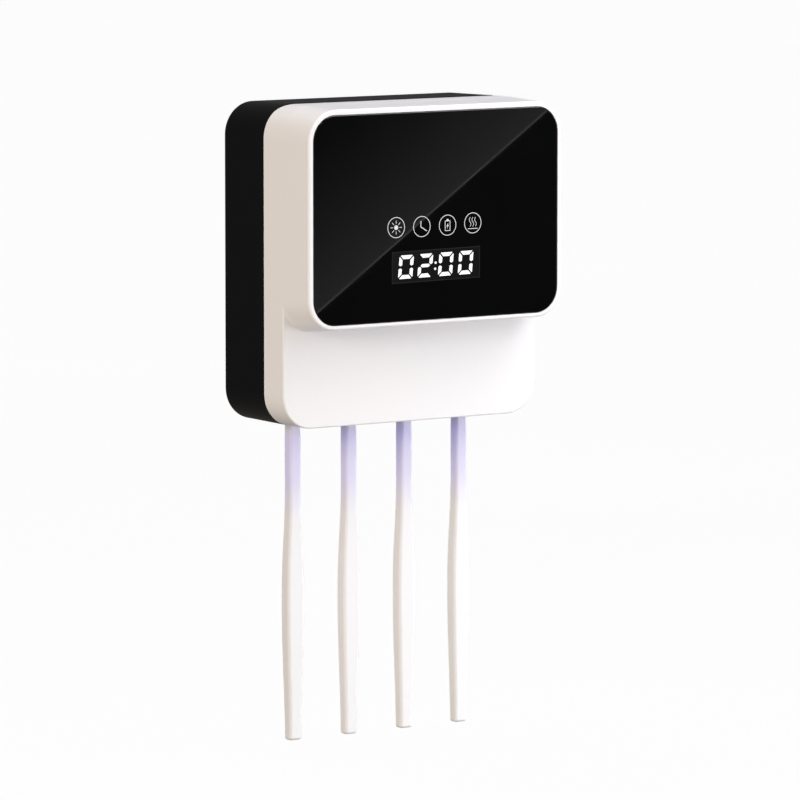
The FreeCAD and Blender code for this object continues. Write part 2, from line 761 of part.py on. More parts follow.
def inner_posts():
    """Posts for the UV board, the fan and the main board, with their pilot holes."""
    root_y = INNER_FRONT_Y + ROOT
    groups = [
        (uv_screw_spots(), 1.8, 0.7, UV_BOARD_Y + BOARD_T),
        (fan_screw_spots(), 2.4, 0.9, FAN_BACK_Y),
        ([(x, up(height)) for x, height in MAIN_POSTS], 2.6, 0.9, MAIN_BOARD_Y + BOARD_T),
    ]
    pilot_deep = 8.0
    adds, cuts = [], []
    for spots, post_r, pilot_r, y_top in groups:
        for x, z in spots:
            adds.append(disc_y(x, z, post_r, y_top, root_y))
            cuts.append(disc_y(x, z, pilot_r, y_top - CUT, min(root_y, y_top + pilot_deep)))
    return adds, cuts


def inner_cover():
    y0 = INNER_FRONT_Y - CUT
    y1 = INNER_BACK_Y + CUT
    screw_hole_r, outlet_half_h = 1.5, 0.9
    adds, cuts = inner_posts()
    cuts.append(plain_plate(HALF_W, y0, y1, INNER_TOP, HEIGHT))
    for side in (-1, 1):
        lug = side * LUG_X
        cuts.append(box(lug - NOTCH_HALF, lug + NOTCH_HALF, y0, y1, HINGE_Z - LUG_FOOT, TOP_Z))
    for x, height in COVER_BOSSES:
        cuts.append(disc_y(x, up(height), screw_hole_r, y0, y1))
    cuts.append(plain_plate(UV_HALF_W, y0, y1, UV_LOW, UV_HIGH))
    cuts.append(plain_plate(UV_HALF_W + UV_REBATE, y0, INNER_FRONT_Y + UV_WINDOW_T,
                            UV_LOW - UV_REBATE, UV_HIGH + UV_REBATE))
    for dz in spread(OUTLET_COUNT, OUTLET_PITCH):
        z = up(FAN_H) + dz
        cuts.append(box(FAN_X - OUTLET_HALF_W, FAN_X + OUTLET_HALF_W, y0, y1,
                        z - outlet_half_h, z + outlet_half_h))
    plate = inset_prism(COVER_WALL + PLAY, INNER_FRONT_Y, INNER_BACK_Y)
    return cut_all(fuse_all([plate] + adds), cuts)


def uv_window():
    gap = 0.2
    reach = UV_REBATE - gap
    return plain_plate(UV_HALF_W + reach, INNER_FRONT_Y, INNER_FRONT_Y + UV_WINDOW_T,
                       UV_LOW - reach, UV_HIGH + reach)


def uv_screw_spots():
    return [(x, up(height)) for x in between_brush_xs()
            for height in (UV_LOW - UV_SCREW_MARGIN, UV_HIGH + UV_SCREW_MARGIN)]


def uv_board():
    hole_r = 0.9
    board = plain_plate(UV_BOARD_HALF_W, UV_BOARD_Y, UV_BOARD_Y + BOARD_T,
                        UV_LOW - UV_BOARD_MARGIN, UV_HIGH + UV_BOARD_MARGIN)
    return board.cut([disc_y(x, z, hole_r, UV_BOARD_Y - CUT, UV_BOARD_Y + BOARD_T + CUT)
                      for x, z in uv_screw_spots()])


def uv_lamp_xs():
    return [x + side * UV_LAMP_OFFSET for x in brush_xs() for side in (-1, 1)]


def uv_leds():
    half, thick, lens_r, sunk = 1.75, 1.0, 1.2, 0.1
    y = UV_BOARD_Y + BOARD_T
    z = up((UV_LOW + UV_HIGH) / 2)
    leds = []
    for x in uv_lamp_xs():
        package = square_rod(x, z, half, y, y + thick)
        lens = Part.makeSphere(lens_r, V(x, y + thick, z))
        lens = lens.common(square_rod(x, z, half, y + thick - sunk, y + thick + lens_r + CUT))
        leds.append(package.fuse(lens).removeSplitter())
    return leds


def uv_reflector():
    """Bright trough round the UV lamps."""
    thick, hole_half = 0.5, 2.3
    y0 = UV_BOARD_Y + BOARD_T
    y1 = INNER_FRONT_Y - PLAY
    z = up((UV_LOW + UV_HIGH) / 2)
    trough = plain_plate(UV_HALF_W, y0, y1, UV_LOW, UV_HIGH)
    inside = plain_plate(UV_HALF_W - thick, y0 + thick, y1 + CUT, UV_LOW + thick, UV_HIGH - thick)
    return trough.cut([inside] + [square_rod(x, z, hole_half, y0 - CUT, y1) for x in uv_lamp_xs()])


def cover_seal():
    """Silicone strip on the inner cover's back face, at the sides and bottom."""
    gap = 0.4
    return u_strip(COVER_WALL + gap, SEAL_W, INNER_BACK_Y, COVER_BACK_Y, SEAL_TOP)


def cover_magnets():
    return [disc_y(x, up(height), r, INNER_FRONT_Y - COVER_MAGNET_T, INNER_FRONT_Y)
            for x, height, r in CLOSING_MAGNETS]


# ---------------------------------------------------------------- display and electronics

def digit_module():
    """Four-digit display body with a shallow tray for its face."""
    half_w, half_h, rim, tray_deep = 27.0, 8.8, 1.0, 0.6
    digit_w, digit_h, stroke, well_deep, well_half = 9.0, 12.0, 1.6, 4.0, 2.1
    y0 = FRONT_Y + GLASS_T + DISPLAY_GAP
    body = plain_plate(half_w, y0, DISPLAY_BOARD_Y, DIGIT_H - half_h, DIGIT_H + half_h)
    cuts = [plain_plate(half_w - rim, y0 - CUT, y0 + tray_deep,
                        DIGIT_H - half_h + rim, DIGIT_H + half_h - rim)]
    for x in DIGIT_XS:
        for cx in (x - (digit_w - stroke) / 2, x + (digit_w - stroke) / 2):
            for height in (DIGIT_H - digit_h / 4, DIGIT_H + digit_h / 4):
                cuts.append(box(cx - stroke / 2, cx + stroke / 2, y0, y0 + well_deep,
                                up(height) - well_half, up(height) + well_half))
    return body.cut(cuts)


def icon_xs():
    return [ICON_X + index * ICON_PITCH for index in range(ICON_COUNT)]


def icon_light_guide():
    """Clear tubes that light the rings of the four icons, on one bar."""
    wall, bar_t, bar_half, bar_end = 0.5, 1.2, 2.0, 3.0
    y0 = FRONT_Y + GLASS_T + DISPLAY_GAP
    z = up(ICON_H)
    xs = icon_xs()
    bar = box(xs[0] - bar_end, xs[-1] + bar_end, DISPLAY_BOARD_Y - bar_t, DISPLAY_BOARD_Y,
              z - bar_half, z + bar_half)
    tubes = [disc_y(x, z, ICON_R + wall, y0, DISPLAY_BOARD_Y) for x in xs]
    bores = [disc_y(x, z, ICON_R - wall, y0 - CUT, DISPLAY_BOARD_Y + CUT) for x in xs]
    return cut_all(fuse_all([bar] + tubes), bores)


def touch_springs():
    """Coil springs that carry each touch key from the board to the glass."""
    coil_r, wire_r, pitch, turns, off_board = 3.4, 0.3, 1.5, 4, 0.05
    y0 = DISPLAY_BOARD_Y - wire_r - off_board
    springs = []
    for x in icon_xs():
        helix = Part.makeHelix(pitch, pitch * turns, coil_r)
        profile = Part.Wire([Part.makeCircle(wire_r, V(coil_r, 0, 0), V(0, 1, 0))])
        coil = Part.Wire(helix.Edges).makePipeShell([profile], True, True)
        coil.Placement = FreeCAD.Placement(V(x, y0, up(ICON_H)), FreeCAD.Rotation(V(0, 0, 1), V(0, -1, 0)))
        springs.append(coil)
    return springs


def chip(x, height, half_x, half_z, thick, y):
    """Block on the back of a board whose back face is at y."""
    return box(x - half_x, x + half_x, y - SOLDER, y + thick, up(height) - half_z, up(height) + half_z)


def board_holes(posts, y):
    hole_r = 1.1
    return [disc_y(x, up(height), hole_r, y - CUT, y + BOARD_T + CUT) for x, height in posts]


def display_board():
    half_w, low, high = 38.0, 65.0, 107.0
    back = DISPLAY_BOARD_Y + BOARD_T
    board = plain_plate(half_w, DISPLAY_BOARD_Y, back, low, high)
    driver = chip(0, 85, 5.0, 5.0, 1.4, back)
    socket = chip(23, 92, 5.0, 2.0, 3.4, back)
    return fuse_all([board, driver, socket]).cut(board_holes(DISPLAY_POSTS, DISPLAY_BOARD_Y))


def main_board():
    back = MAIN_BOARD_Y + BOARD_T
    capacitor_r, capacitor_len = 3.0, 7.0
    shapes = [
        box(MAIN_LEFT, MAIN_RIGHT, MAIN_BOARD_Y, back, up(MAIN_LOW), up(MAIN_HIGH)),
        chip(-2, 116, 6.0, 6.0, 1.5, back),
        chip(36.5, 110.5, 2.5, 2.5, 1.3, back),
        chip(25.5, 107.5, 3.5, 3.5, 4.0, back),
        chip(-33, 128.5, 7.0, 2.5, 5.0, back),
    ]
    for x in (20, 30):
        shapes.append(disc_y(x, up(126), capacitor_r, back - SOLDER, back + capacitor_len))
    return fuse_all(shapes).cut(board_holes(MAIN_POSTS, MAIN_BOARD_Y))


def buzzer():
    drum_r, drum_t, hole_r, hole_deep = 4.5, 4.2, 0.9, 1.6
    y0 = MAIN_BOARD_Y - drum_t
    drum = disc_y(BUZZER_X, up(BUZZER_H), drum_r, y0, MAIN_BOARD_Y)
    return drum.cut(disc_y(BUZZER_X, up(BUZZER_H), hole_r, y0 - CUT, y0 + hole_deep))


def reed_switch():
    """Glass reed beside the base's sensor magnet, which tells when the cover is open."""
    glass_r, glass_len, lead_r, lead_len, off_cover = 1.1, 12.0, 0.3, 18.0, 1.3
    x, height, _ = SENSOR_MAGNET
    y = INNER_FRONT_Y - off_cover
    glass = disc_z(x, y, glass_r, up(height) - glass_len / 2, up(height) + glass_len / 2)
    leads = disc_z(x, y, lead_r, up(height) - lead_len / 2, up(height) + lead_len / 2)
    return glass.fuse(leads).removeSplitter()


def charge_port():
    """USB-C style receptacle, mouth towards +X."""
    back_wall, tongue_half_y, tongue_half_z, tongue_sunk = 1.2, 0.35, 3.1, 0.8
    x0 = PORT_FACE_X - PORT_LEN
    z = up(PORT_H)
    shell = slot_x(PORT_Y, z, PORT_W, PORT_T, x0, PORT_FACE_X)
    mouth = slot_x(PORT_Y, z, PORT_W - 2 * PORT_SKIN, PORT_T - 2 * PORT_SKIN,
                   x0 + back_wall, PORT_FACE_X + CUT)
    tongue = box(x0 + back_wall / 2, PORT_FACE_X - tongue_sunk, PORT_Y - tongue_half_y,
                 PORT_Y + tongue_half_y, z - tongue_half_z, z + tongue_half_z)
    return shell.cut(mouth).fuse(tongue).removeSplitter()


def port_plug():
    """Rubber dust plug, flush with the side of the cover."""
    sleeve_len, sleeve_w, sleeve_t, sleeve_wall, skin = 3.6, 7.8, 2.0, 0.3, 0.2
    notch_deep, notch_half, notch_low, notch_high = 0.6, 1.6, 3.6, 4.8
    cap_x = HALF_W - PORT_CAP_T
    z = up(PORT_H)
    cap = slot_x(PORT_Y, z, PORT_CAP_W, PORT_CAP_H, cap_x, HALF_W)
    sleeve = slot_x(PORT_Y, z, sleeve_w, sleeve_t, cap_x - sleeve_len, cap_x + skin)
    bore = slot_x(PORT_Y, z, sleeve_w - 2 * sleeve_wall, sleeve_t - 2 * sleeve_wall,
                  cap_x - sleeve_len - CUT, cap_x - skin)
    nail_notch = box(HALF_W - notch_deep, HALF_W + CUT, PORT_Y - notch_half, PORT_Y + notch_half,
                     z + notch_low, z + notch_high)
    return cut_all(fuse_all([cap, sleeve]), [bore, nail_notch])


# ---------------------------------------------------------------- battery

def battery_cell():
    cap_r, cap_len, edge_r = 3.2, 1.2, 0.6
    x0 = CELL_X - CELL_LEN / 2
    x1 = CELL_X + CELL_LEN / 2
    z = up(CELL_H)
    can = disc_x(CELL_Y, z, CELL_R, x0, x1 - cap_len)
    can = can.makeFillet(edge_r, [e for e in can.Edges if e.BoundBox.XLength < 0.01])
    cap = disc_x(CELL_Y, z, cap_r, x1 - cap_len - SOLDER, x1)
    return can.fuse(cap).removeSplitter()


def battery_holder():
    end_wall, side_wall, side_gap, floor_gap, depth = 1.8, 1.2, 0.2, 0.1, 2.0
    half_len = CELL_LEN / 2 + CELL_END_GAP
    half = CELL_R + side_gap
    x0, x1 = CELL_X - half_len, CELL_X + half_len
    y0 = CELL_Y - depth
    z = up(CELL_H)
    tray = box(x0 - end_wall, x1 + end_wall, y0, INNER_FRONT_Y, z - half - side_wall, z + half + side_wall)
    return tray.cut(box(x0, x1, y0 - CUT, CELL_Y + CELL_R + floor_gap, z - half, z + half))


def battery_contacts():
    """End plates with a dimple that meets the cell, one at each end."""
    thick, half, above, dimple_r = 0.5, 5.5, 1.8, 2.2
    z = up(CELL_H)
    contacts = []
    for side in (-1, 1):
        cell_end = CELL_X + side * CELL_LEN / 2
        outer = cell_end + side * CELL_END_GAP
        inner = outer - side * thick
        plate = box(min(outer, inner), max(outer, inner), CELL_Y - above, CELL_Y + half, z - half, z + half)
        dimple = disc_x(CELL_Y, z, dimple_r, min(inner, cell_end), max(inner, cell_end))
        contacts.append(plate.fuse(dimple).removeSplitter())
    return contacts


# ---------------------------------------------------------------- fan and heater

def fan_screw_spots():
    return [(FAN_X + dx, up(FAN_H) + dz) for dx in (-FAN_SCREW, FAN_SCREW) for dz in (-FAN_SCREW, FAN_SCREW)]


def turned_boxes(turns, *limits):
    """Copies of a box turned about the fan's axis."""
    copies = []
    for turn in turns:
        piece = box(*limits)
        piece.rotate(V(FAN_X, 0, up(FAN_H)), V(0, 1, 0), turn)
        copies.append(piece)
    return copies


def fan_housing():
    corner_r, screw_r, strut_half = 2.5, 1.4, 0.8
    half = FAN_SIZE / 2
    z = up(FAN_H)
    y0 = FAN_BACK_Y - FAN_T
    frame = round_prism(FAN_X - half, FAN_X + half, z - half, z + half, corner_r, y0, FAN_BACK_Y)
    frame = frame.cut(disc_y(FAN_X, z, FAN_BORE_R, y0 - CUT, FAN_BACK_Y + CUT))
    hub = disc_y(FAN_X, z, FAN_HUB_R, y0, y0 + FAN_HUB_T)
    struts = turned_boxes((45, 135, 225, 315), FAN_X + FAN_HUB_R - 1.0, FAN_X + FAN_BORE_R + 0.6,
                          y0, y0 + FAN_HUB_T, z - strut_half, z + strut_half)
    screws = [disc_y(x, sz, screw_r, y0 - CUT, FAN_BACK_Y + CUT) for x, sz in fan_screw_spots()]
    return cut_all(fuse_all([frame, hub] + struts), screws)


def fan_stator():
    """Bearing tube and four wound poles, on the housing's hub."""
    tube_r, tube_len, pole_reach, pole_low, pole_high, pole_half = 2.0, 5.6, 5.4, 1.4, 4.6, 1.3
    z = up(FAN_H)
    y0 = FAN_BACK_Y - FAN_T + FAN_HUB_T
    tube = disc_y(FAN_X, z, tube_r, y0, y0 + tube_len)
    poles = turned_boxes((0, 90, 180, 270), FAN_X + tube_r / 2, FAN_X + pole_reach,
                         y0 + pole_low, y0 + pole_high, z - pole_half, z + pole_half)
    bore = disc_y(FAN_X, z, SHAFT_R + SHAFT_PLAY, y0 - CUT, y0 + tube_len + CUT)
    return cut_all(fuse_all([tube] + poles), [bore])


def fan_rotor():
    cup_r, cup_wall, front_gap, back_gap = 7.4, 1.0, 2.0, 0.8
    blade_t, blade_half, blade_tilt, tip_gap = 0.9, 3.6, 40, 0.5
    z = up(FAN_H)
    y_front = FAN_BACK_Y - FAN_T + front_gap
    y_back = FAN_BACK_Y - back_gap
    cup = disc_y(FAN_X, z, cup_r, y_front, y_back)
    hollow = disc_y(FAN_X, z, cup_r - cup_wall, y_front - CUT, y_back - cup_wall)
    shaft = disc_y(FAN_X, z, SHAFT_R, y_front - cup_wall / 2, y_back - cup_wall / 2)
    blade_out = FAN_BORE_R - tip_gap
    sweep = disc_y(FAN_X, z, blade_out, y_front, y_back)
    blades = []
    for index in range(FAN_BLADES):
        blade = box(0, blade_t, -blade_half, blade_half, cup_r - cup_wall / 2, blade_out)
        blade.rotate(V(blade_t / 2, 0, 0), V(0, 0, 1), blade_tilt)
        blade.translate(V(FAN_X, (y_front + y_back) / 2, z))
        blade.rotate(V(FAN_X, 0, z), V(0, 1, 0), index * 360.0 / FAN_BLADES)
        blades.append(blade.common(sweep))
    return fuse_all([cup.cut(hollow), shaft] + blades)


def heater():
    """Ceramic heating element: a frame, two bars and thin fins across the air stream."""
    half_w, half_h, frame_t, set_in = 9.2, 13.0, 1.0, 0.4
    bar_half, bar_pitch, fin_half, fin_pitch, fin_count = 1.1, 10.0, 0.25, 2.3, 7
    z = up(FAN_H)
    y0 = FAN_BACK_Y + PLAY
    y1 = INNER_FRONT_Y - PLAY
    in_w, in_h = half_w - frame_t, half_h - frame_t
    frame = box(FAN_X - half_w, FAN_X + half_w, y0, y1, z - half_h, z + half_h)
    frame = frame.cut(box(FAN_X - in_w, FAN_X + in_w, y0 - CUT, y1 + CUT, z - in_h, z + in_h))
    y0, y1 = y0 + set_in, y1 - set_in
    bars = [box(FAN_X - half_w, FAN_X + half_w, y0, y1, z + dz - bar_half, z + dz + bar_half)
            for dz in spread(2, bar_pitch)]
    fin_h = half_h - frame_t / 2
    fins = [box(FAN_X + dx - fin_half, FAN_X + dx + fin_half, y0, y1, z - fin_h, z + fin_h)
            for dx in spread(fin_count, fin_pitch)]
    return fuse_all([frame] + bars + fins)


# ---------------------------------------------------------------- fasteners of the cover

def inner_cover_screws():
    screw = pan_screw(head_r=2.4, head_h=0.8, shank_r=1.05, shank_len=10.0)
    return place_screws(screw, [(x, INNER_BACK_Y, up(height)) for x, height in COVER_BOSSES], (0, 1, 0))


def board_screws():
    screw = pan_screw(head_r=2.0, head_h=1.3, shank_r=0.75, shank_len=5.0)
    display = [(x, DISPLAY_BOARD_Y + BOARD_T, up(height)) for x, height in DISPLAY_POSTS]
    main_ones = [(x, MAIN_BOARD_Y, up(height)) for x, height in MAIN_POSTS]
    return place_screws(screw, display, (0, 1, 0)) + place_screws(screw, main_ones, (0, -1, 0))


def uv_board_screws():
    screw = pan_screw(head_r=1.5, head_h=1.0, shank_r=0.65, shank_len=4.0)
    return place_screws(screw, [(x, UV_BOARD_Y, z) for x, z in uv_screw_spots()], (0, -1, 0))


def fan_screws():
    screw = pan_screw(head_r=2.0, head_h=1.2, shank_r=0.85, shank_len=13.0)
    return place_screws(screw, [(x, FAN_BACK_Y - FAN_T, z) for x, z in fan_screw_spots()], (0, -1, 0))


def hinge_pins():
    reach = LUG_W / 2 + LUG_SIDE_GAP + RIB_T
    return [disc_x(HINGE_Y, HINGE_Z, PIN_R, side * LUG_X - reach, side * LUG_X + reach) for side in (-1, 1)]


# ---------------------------------------------------------------- brushes

def section(x, height, width, depth, r):
    """Rounded rectangle across a brush, in an XY plane."""
    wire = round_wire(x - width / 2, x + width / 2, -depth / 2, depth / 2, r, r, 0)
    wire.rotate(V(0, 0, 0), V(1, 0, 0), -90)
    wire.translate(V(0, BRUSH_Y, up(height)))
    return wire


def brush_stem(x):
    """Slim neck, a waisted grip and a rounded tip, through sections at several heights."""
    stations = [
        (BRUSH_TIP, TIP_W, TIP_D, 1.5),
        (-132, 8.1, 6.3, 1.5),
        (-104, GRIP_W - 0.2, GRIP_D - 0.1, 1.5),
        (-82, GRIP_W, GRIP_D, 1.5),
        (-66, 8.9, 6.8, 1.5),
        (-50, 7.1, 6.5, 1.4),
        (-38, NECK_W, NECK_D, 1.3),
        (-10, NECK_W, NECK_D, 1.3),
        (HEAD_LOW + 4, NECK_W - 0.6, HEAD_T - 0.6, 1.2),
    ]
    stem = Part.makeLoft([section(x, *station) for station in stations], True, False)
    flat = 0.02
    tip_z = up(BRUSH_TIP)
    tip_edges = [e for e in stem.Edges if abs(e.BoundBox.ZMin - tip_z) < flat and e.BoundBox.ZLength < flat]
    return stem.makeFillet(TIP_EDGE_R, tip_edges)


def brush_handle(x):
    half_w = HEAD_W / 2
    y0 = BRUSH_Y - HEAD_T / 2
    y1 = BRUSH_Y + HEAD_T / 2
    head = round_prism(x - half_w, x + half_w, up(HEAD_LOW), up(BRUSH_TOP), HEAD_R, y0, y1)
    head = head.makeFillet(HEAD_EDGE_R, ring_edges(head, y0) + ring_edges(head, y1))
    return fuse_all([brush_stem(x), head])


def brush_bristles(x):
    """The bristle field as one plain block, facing the front."""
    half_w = BRISTLE_W / 2
    y1 = BRUSH_Y - HEAD_T / 2
    return round_prism(x - half_w, x + half_w, up(HEAD_LOW + BRISTLE_LOW), up(BRUSH_TOP - BRISTLE_HIGH),
                       BRISTLE_R, y1 - BRISTLE_LEN, y1)


# ---------------------------------------------------------------- all nodes

def main():
    os.makedirs("parts", exist_ok=True)
    save("wall_bracket", wall_bracket())
    save("adhesive_pads", adhesive_pads())
    save("rear_shell", rear_shell())
    save("bumper_pads", [bumper_pad(side) for side in (-1, 1)])
    save("brush_rack", brush_rack())
    save("rack_screws", rack_screws())
    save("reflector_sheet", reflector_sheet())
    save("base_magnets", [base_magnet(magnet) for magnet in CLOSING_MAGNETS])
    save("sensor_magnet", base_magnet(SENSOR_MAGNET))
    save("front_shell", front_shell())
    save("display_glass", display_glass())
    save("glass_gasket", glass_gasket())
    save("inner_cover", inner_cover())
    save("uv_window", uv_window())
    save("uv_board", uv_board())
    save("uv_leds", uv_leds())
    save("uv_reflector", uv_reflector())
    save("cover_seal", cover_seal())
    save("cover_magnets", cover_magnets())
    save("digit_module", digit_module())
    save("icon_light_guide", icon_light_guide())
    save("touch_springs", touch_springs())
    save("display_board", display_board())
    save("main_board", main_board())
    save("buzzer", buzzer())
    save("reed_switch", reed_switch())
    save("charge_port", charge_port())
    save("port_plug", port_plug())
    save("battery_cell", battery_cell())
    save("battery_holder", battery_holder())
    save("battery_contacts", battery_contacts())
    save("fan_housing", fan_housing())
    save("fan_stator", fan_stator())
    save("fan_rotor", fan_rotor())
    save("heater", heater())
    save("inner_cover_screws", inner_cover_screws())
    save("board_screws", board_screws())
    save("uv_board_screws", uv_board_screws())
    save("fan_screws", fan_screws())
    save("hinge_pins", hinge_pins())
    for index, x in enumerate(brush_xs(), start=1):
        save("brush_%d_handle" % index, brush_handle(x))
        save("brush_%d_bristles" % index, brush_bristles(x))


main()
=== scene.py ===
import json
import math

import bmesh
import bpy
from mathutils import Matrix, Vector
from mathutils.geometry import tessellate_polygon

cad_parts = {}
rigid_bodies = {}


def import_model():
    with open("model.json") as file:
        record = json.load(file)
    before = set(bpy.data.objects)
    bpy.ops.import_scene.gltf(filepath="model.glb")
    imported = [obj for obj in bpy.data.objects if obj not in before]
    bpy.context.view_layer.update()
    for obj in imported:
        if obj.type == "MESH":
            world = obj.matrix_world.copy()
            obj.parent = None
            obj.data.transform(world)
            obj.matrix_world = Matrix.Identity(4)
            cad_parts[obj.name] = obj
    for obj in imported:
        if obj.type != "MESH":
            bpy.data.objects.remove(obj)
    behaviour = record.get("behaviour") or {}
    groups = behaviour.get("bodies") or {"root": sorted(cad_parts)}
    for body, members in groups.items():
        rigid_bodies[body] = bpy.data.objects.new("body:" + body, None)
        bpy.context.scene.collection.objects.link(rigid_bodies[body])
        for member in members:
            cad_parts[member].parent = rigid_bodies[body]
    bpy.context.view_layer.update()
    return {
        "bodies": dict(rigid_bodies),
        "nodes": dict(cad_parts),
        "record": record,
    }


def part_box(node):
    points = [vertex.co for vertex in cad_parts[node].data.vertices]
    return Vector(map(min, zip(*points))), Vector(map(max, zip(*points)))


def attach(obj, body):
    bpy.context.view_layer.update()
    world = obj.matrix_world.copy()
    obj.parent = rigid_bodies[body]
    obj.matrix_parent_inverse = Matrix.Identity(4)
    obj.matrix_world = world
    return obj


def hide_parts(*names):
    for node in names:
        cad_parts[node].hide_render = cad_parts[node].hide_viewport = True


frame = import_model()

# Looks of a wall-hung toothbrush sanitizer: clean moulded plastic, a black glass panel with lit
# figures, real tufts on the brush heads, and the studio it is seen in.
# Metres. +X right as seen from the front, -Y towards the user, +Z up.

MM = 0.001

# ---- places taken from the frame ----
GLASS_LOW, GLASS_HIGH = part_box("display_glass")
FRONT_Y = GLASS_LOW.y
BOTTOM_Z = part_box("front_shell")[0].z
BRUSHES = ("brush_1", "brush_2", "brush_3", "brush_4")

# ---- camera ----
CAMERA_AT = Vector((-1.7415, -2.5648, 0.2689))
CAMERA_AIM = Vector((-0.0005, -0.0450, -0.0689))
LENS_MM = 282.4
SENSOR_MM = 36.0
CLIP_NEAR, CLIP_FAR = 0.05, 300.0
CAMERA_MIRRORED = Vector((CAMERA_AT.x, 2 * FRONT_Y - CAMERA_AT.y, CAMERA_AT.z))    # in the panel's face

# ---- panel glass, millimetres ----
GLASS_CORNER = 12.6
GLASS_ARRIS = 0.45

# ---- display, millimetres, heights from the bottom of the shell ----
PRINT_T = 0.05
PRINT_SUNK = 0.02         # how far the back of a print lies in the glass
PRINT_CLIMB = 0.012       # the figures and their window rise a little to the right
FIGURE_T = 2 * PRINT_T
BORDER_T = 1.6 * PRINT_T
WINDOW = (-26.7, 25.5, 70.7, 86.2)
WINDOW_CORNER = 0.5
WINDOW_LINE = 0.5
DIGIT_TEXT = "0200"
DIGIT_X = (-23.1, -11.7, 0.45, 12.25)
DIGIT_LOW = 72.85
DIGIT_W = 8.4
DIGIT_H = 11.4
DIGIT_STROKE = 1.85
DIGIT_GAP = 0.52
DIGIT_CORNER = 1.0
DIGIT_SLANT = 0.09
LIT_SEGMENTS = {"0": "abcdef", "2": "abged"}
COLON = ((-0.85, 79.55), (-1.1, 76.6))
COLON_R = 0.62
ICON_X = (-24.1, -9.0, 6.25, 21.25)
ICON_H = (97.7, 97.5, 97.5, 97.9)
ICON_R = 5.08
ICON_LINE = 0.31
GLYPH_LINE = 0.34
MITRE_LIMIT = 0.3         # smallest cosine of half a turn that a mitre still follows

# ---- brush tufts ----
TUFT_ROWS = (-0.36, -0.12, 0.12, 0.36)    # places across the head, as shares of its width
MIDDLE_ROWS = TUFT_ROWS[1:3]
TUFT_COLUMNS = 10
FULL_WIDTH_SHARE = 0.85   # columns further from the middle than this have the middle rows only
TUFT_FILL = 0.36          # tuft radius, as a share of the columns' spacing
TUFT_TO_FILAMENT = 4.2    # tuft radius over filament radius
FILAMENTS = 14
FILAMENT_SIDES = 5
GOLDEN_ANGLE = math.radians(137.508)
TRIM_MM = 0.35            # how much the tufts differ in height
TRIM_BY_COLUMN, TRIM_BY_ROW = 2.4, 1.7    # radians from one tuft to the next
STAGGER_MM = 0.12         # how much the filaments of a tuft differ in height
STAGGER_STRIDE, STAGGER_STEPS = 7, 5
ROOT_GATHER, ROOT_THICK = 0.92, 1.0
TIP_SPLAY, TIP_THICK = 1.16, 0.8

# ---- how far the roughness of a surface strays to either side ----
MOULDED_SPREAD = 0.02
POLISH_SPREAD = 0.025

# ---- painted violet glow and painted shade on the brush necks, heights in millimetres below the shell ----
GLOW_TOP = 9.0
GLOW_FULL = 29.0
GLOW_END = 48.0
# the colour the neck is darkened towards (painted shade), then its violet emission (painted glow)
NECK_PAINTED_SHADE = (0.735, 0.70, 0.66)
NECK_PAINTED_GLOW = (0.015, 0.035, 0.24)

# ---- reflection of the studio card on the glass ----
PANEL_MIDDLE = (0.0, 102.4)          # millimetres across and up the shell
CARD_EDGE_HIGH = (66.4, 151.1)       # its edge crosses these two panel points
CARD_EDGE_LOW = (-70.3, 58.4)
CARD_FAR_CORNER = (-72.3, 153.0)     # where its glow has faded out
CARD_DISTANCE = 1.5
CARD_GLOW = 0.30
CARD_FALL = 1.6
CARD_LINE_GLOW = 1.1
CARD_LINE_IN, CARD_LINE_OUT = 0.7 * MM, 1.2 * MM
CARD_SPARE = 0.6          # how far the edge runs on at each end, as a share of its length
CARD_REACH = 1.5
FLAG_BEHIND = 0.05
FLAG_HALF_SHARE = 0.85

# ---- studio ----
FLOOR_Z = -1.6            # such a device hangs about this high above a floor
FLOOR_HALF = 60.0
FLOOR_GLOW = 0.66
ROOM_SIDE = (0.50, 0.495, 0.50)
WALL_SIDE = (0.19, 0.19, 0.20)
GROUND_SIDE = (0.27, 0.24, 0.215)
STUDIO_CENTRE = Vector((0, -0.04, 0))
# name, place from the centre, side of the square, watts, tint, whether it shows in reflections
STUDIO_LIGHTS = (
    ("high_key", (0.9, -1.1, 1.7), 1.2, 18.5, (1.0, 0.985, 1.0), True),
    ("overhead", (0.6, 0.05, 1.6), 0.8, 9.4, (1.0, 0.97, 0.98), True),
    ("front_fill", (0.35, -2.0, 0.95), 0.9, 8.6, (0.86, 0.93, 1.0), True),
    ("low_right", (0.72, -0.40, -0.2), 0.35, 4.7, (0.95, 0.96, 1.0), False),
    ("warm_side", (-1.85, -0.8, 0.35), 0.9, 22.5, (1.0, 0.85, 0.67), False),
    ("back_fill", (0.1, 2.2, 0.2), 1.2, 30.0, (1.0, 0.98, 0.97), False),
)
SPILL_Y = -0.044
SPILL_BELOW = 1.0 * MM
SPILL_THROW = (0.0, 0.016, -0.028)        # from the light to the point it is turned to
SPILL_WIDTH, SPILL_DEPTH = 0.15, 0.004
SPILL_WATTS = 0.0025
SPILL_TINT = (0.36, 0.27, 1.0)


def colour(red, green, blue):
    return (red, green, blue, 1.0)


def scaled(base, factor):
    return tuple(channel * factor for channel in base)


def full_turn(steps):
    """Evenly spaced angles once round."""
    return [2 * math.pi * step / steps for step in range(steps)]


# ------------------------------------------------------------------ shader nodes


def start_material(name, base, roughness, **sockets):
    """A principled material with its constants set on the shader itself."""
    material = bpy.data.materials.new(name)
    material.use_nodes = True
    shader = material.node_tree.nodes["Principled BSDF"]
    shader.inputs["Base Color"].default_value = colour(*base)
    shader.inputs["Roughness"].default_value = roughness
    for socket, value in sockets.items():
        shader.inputs[socket.replace("_", " ")].default_value = value
    return material, material.node_tree, shader


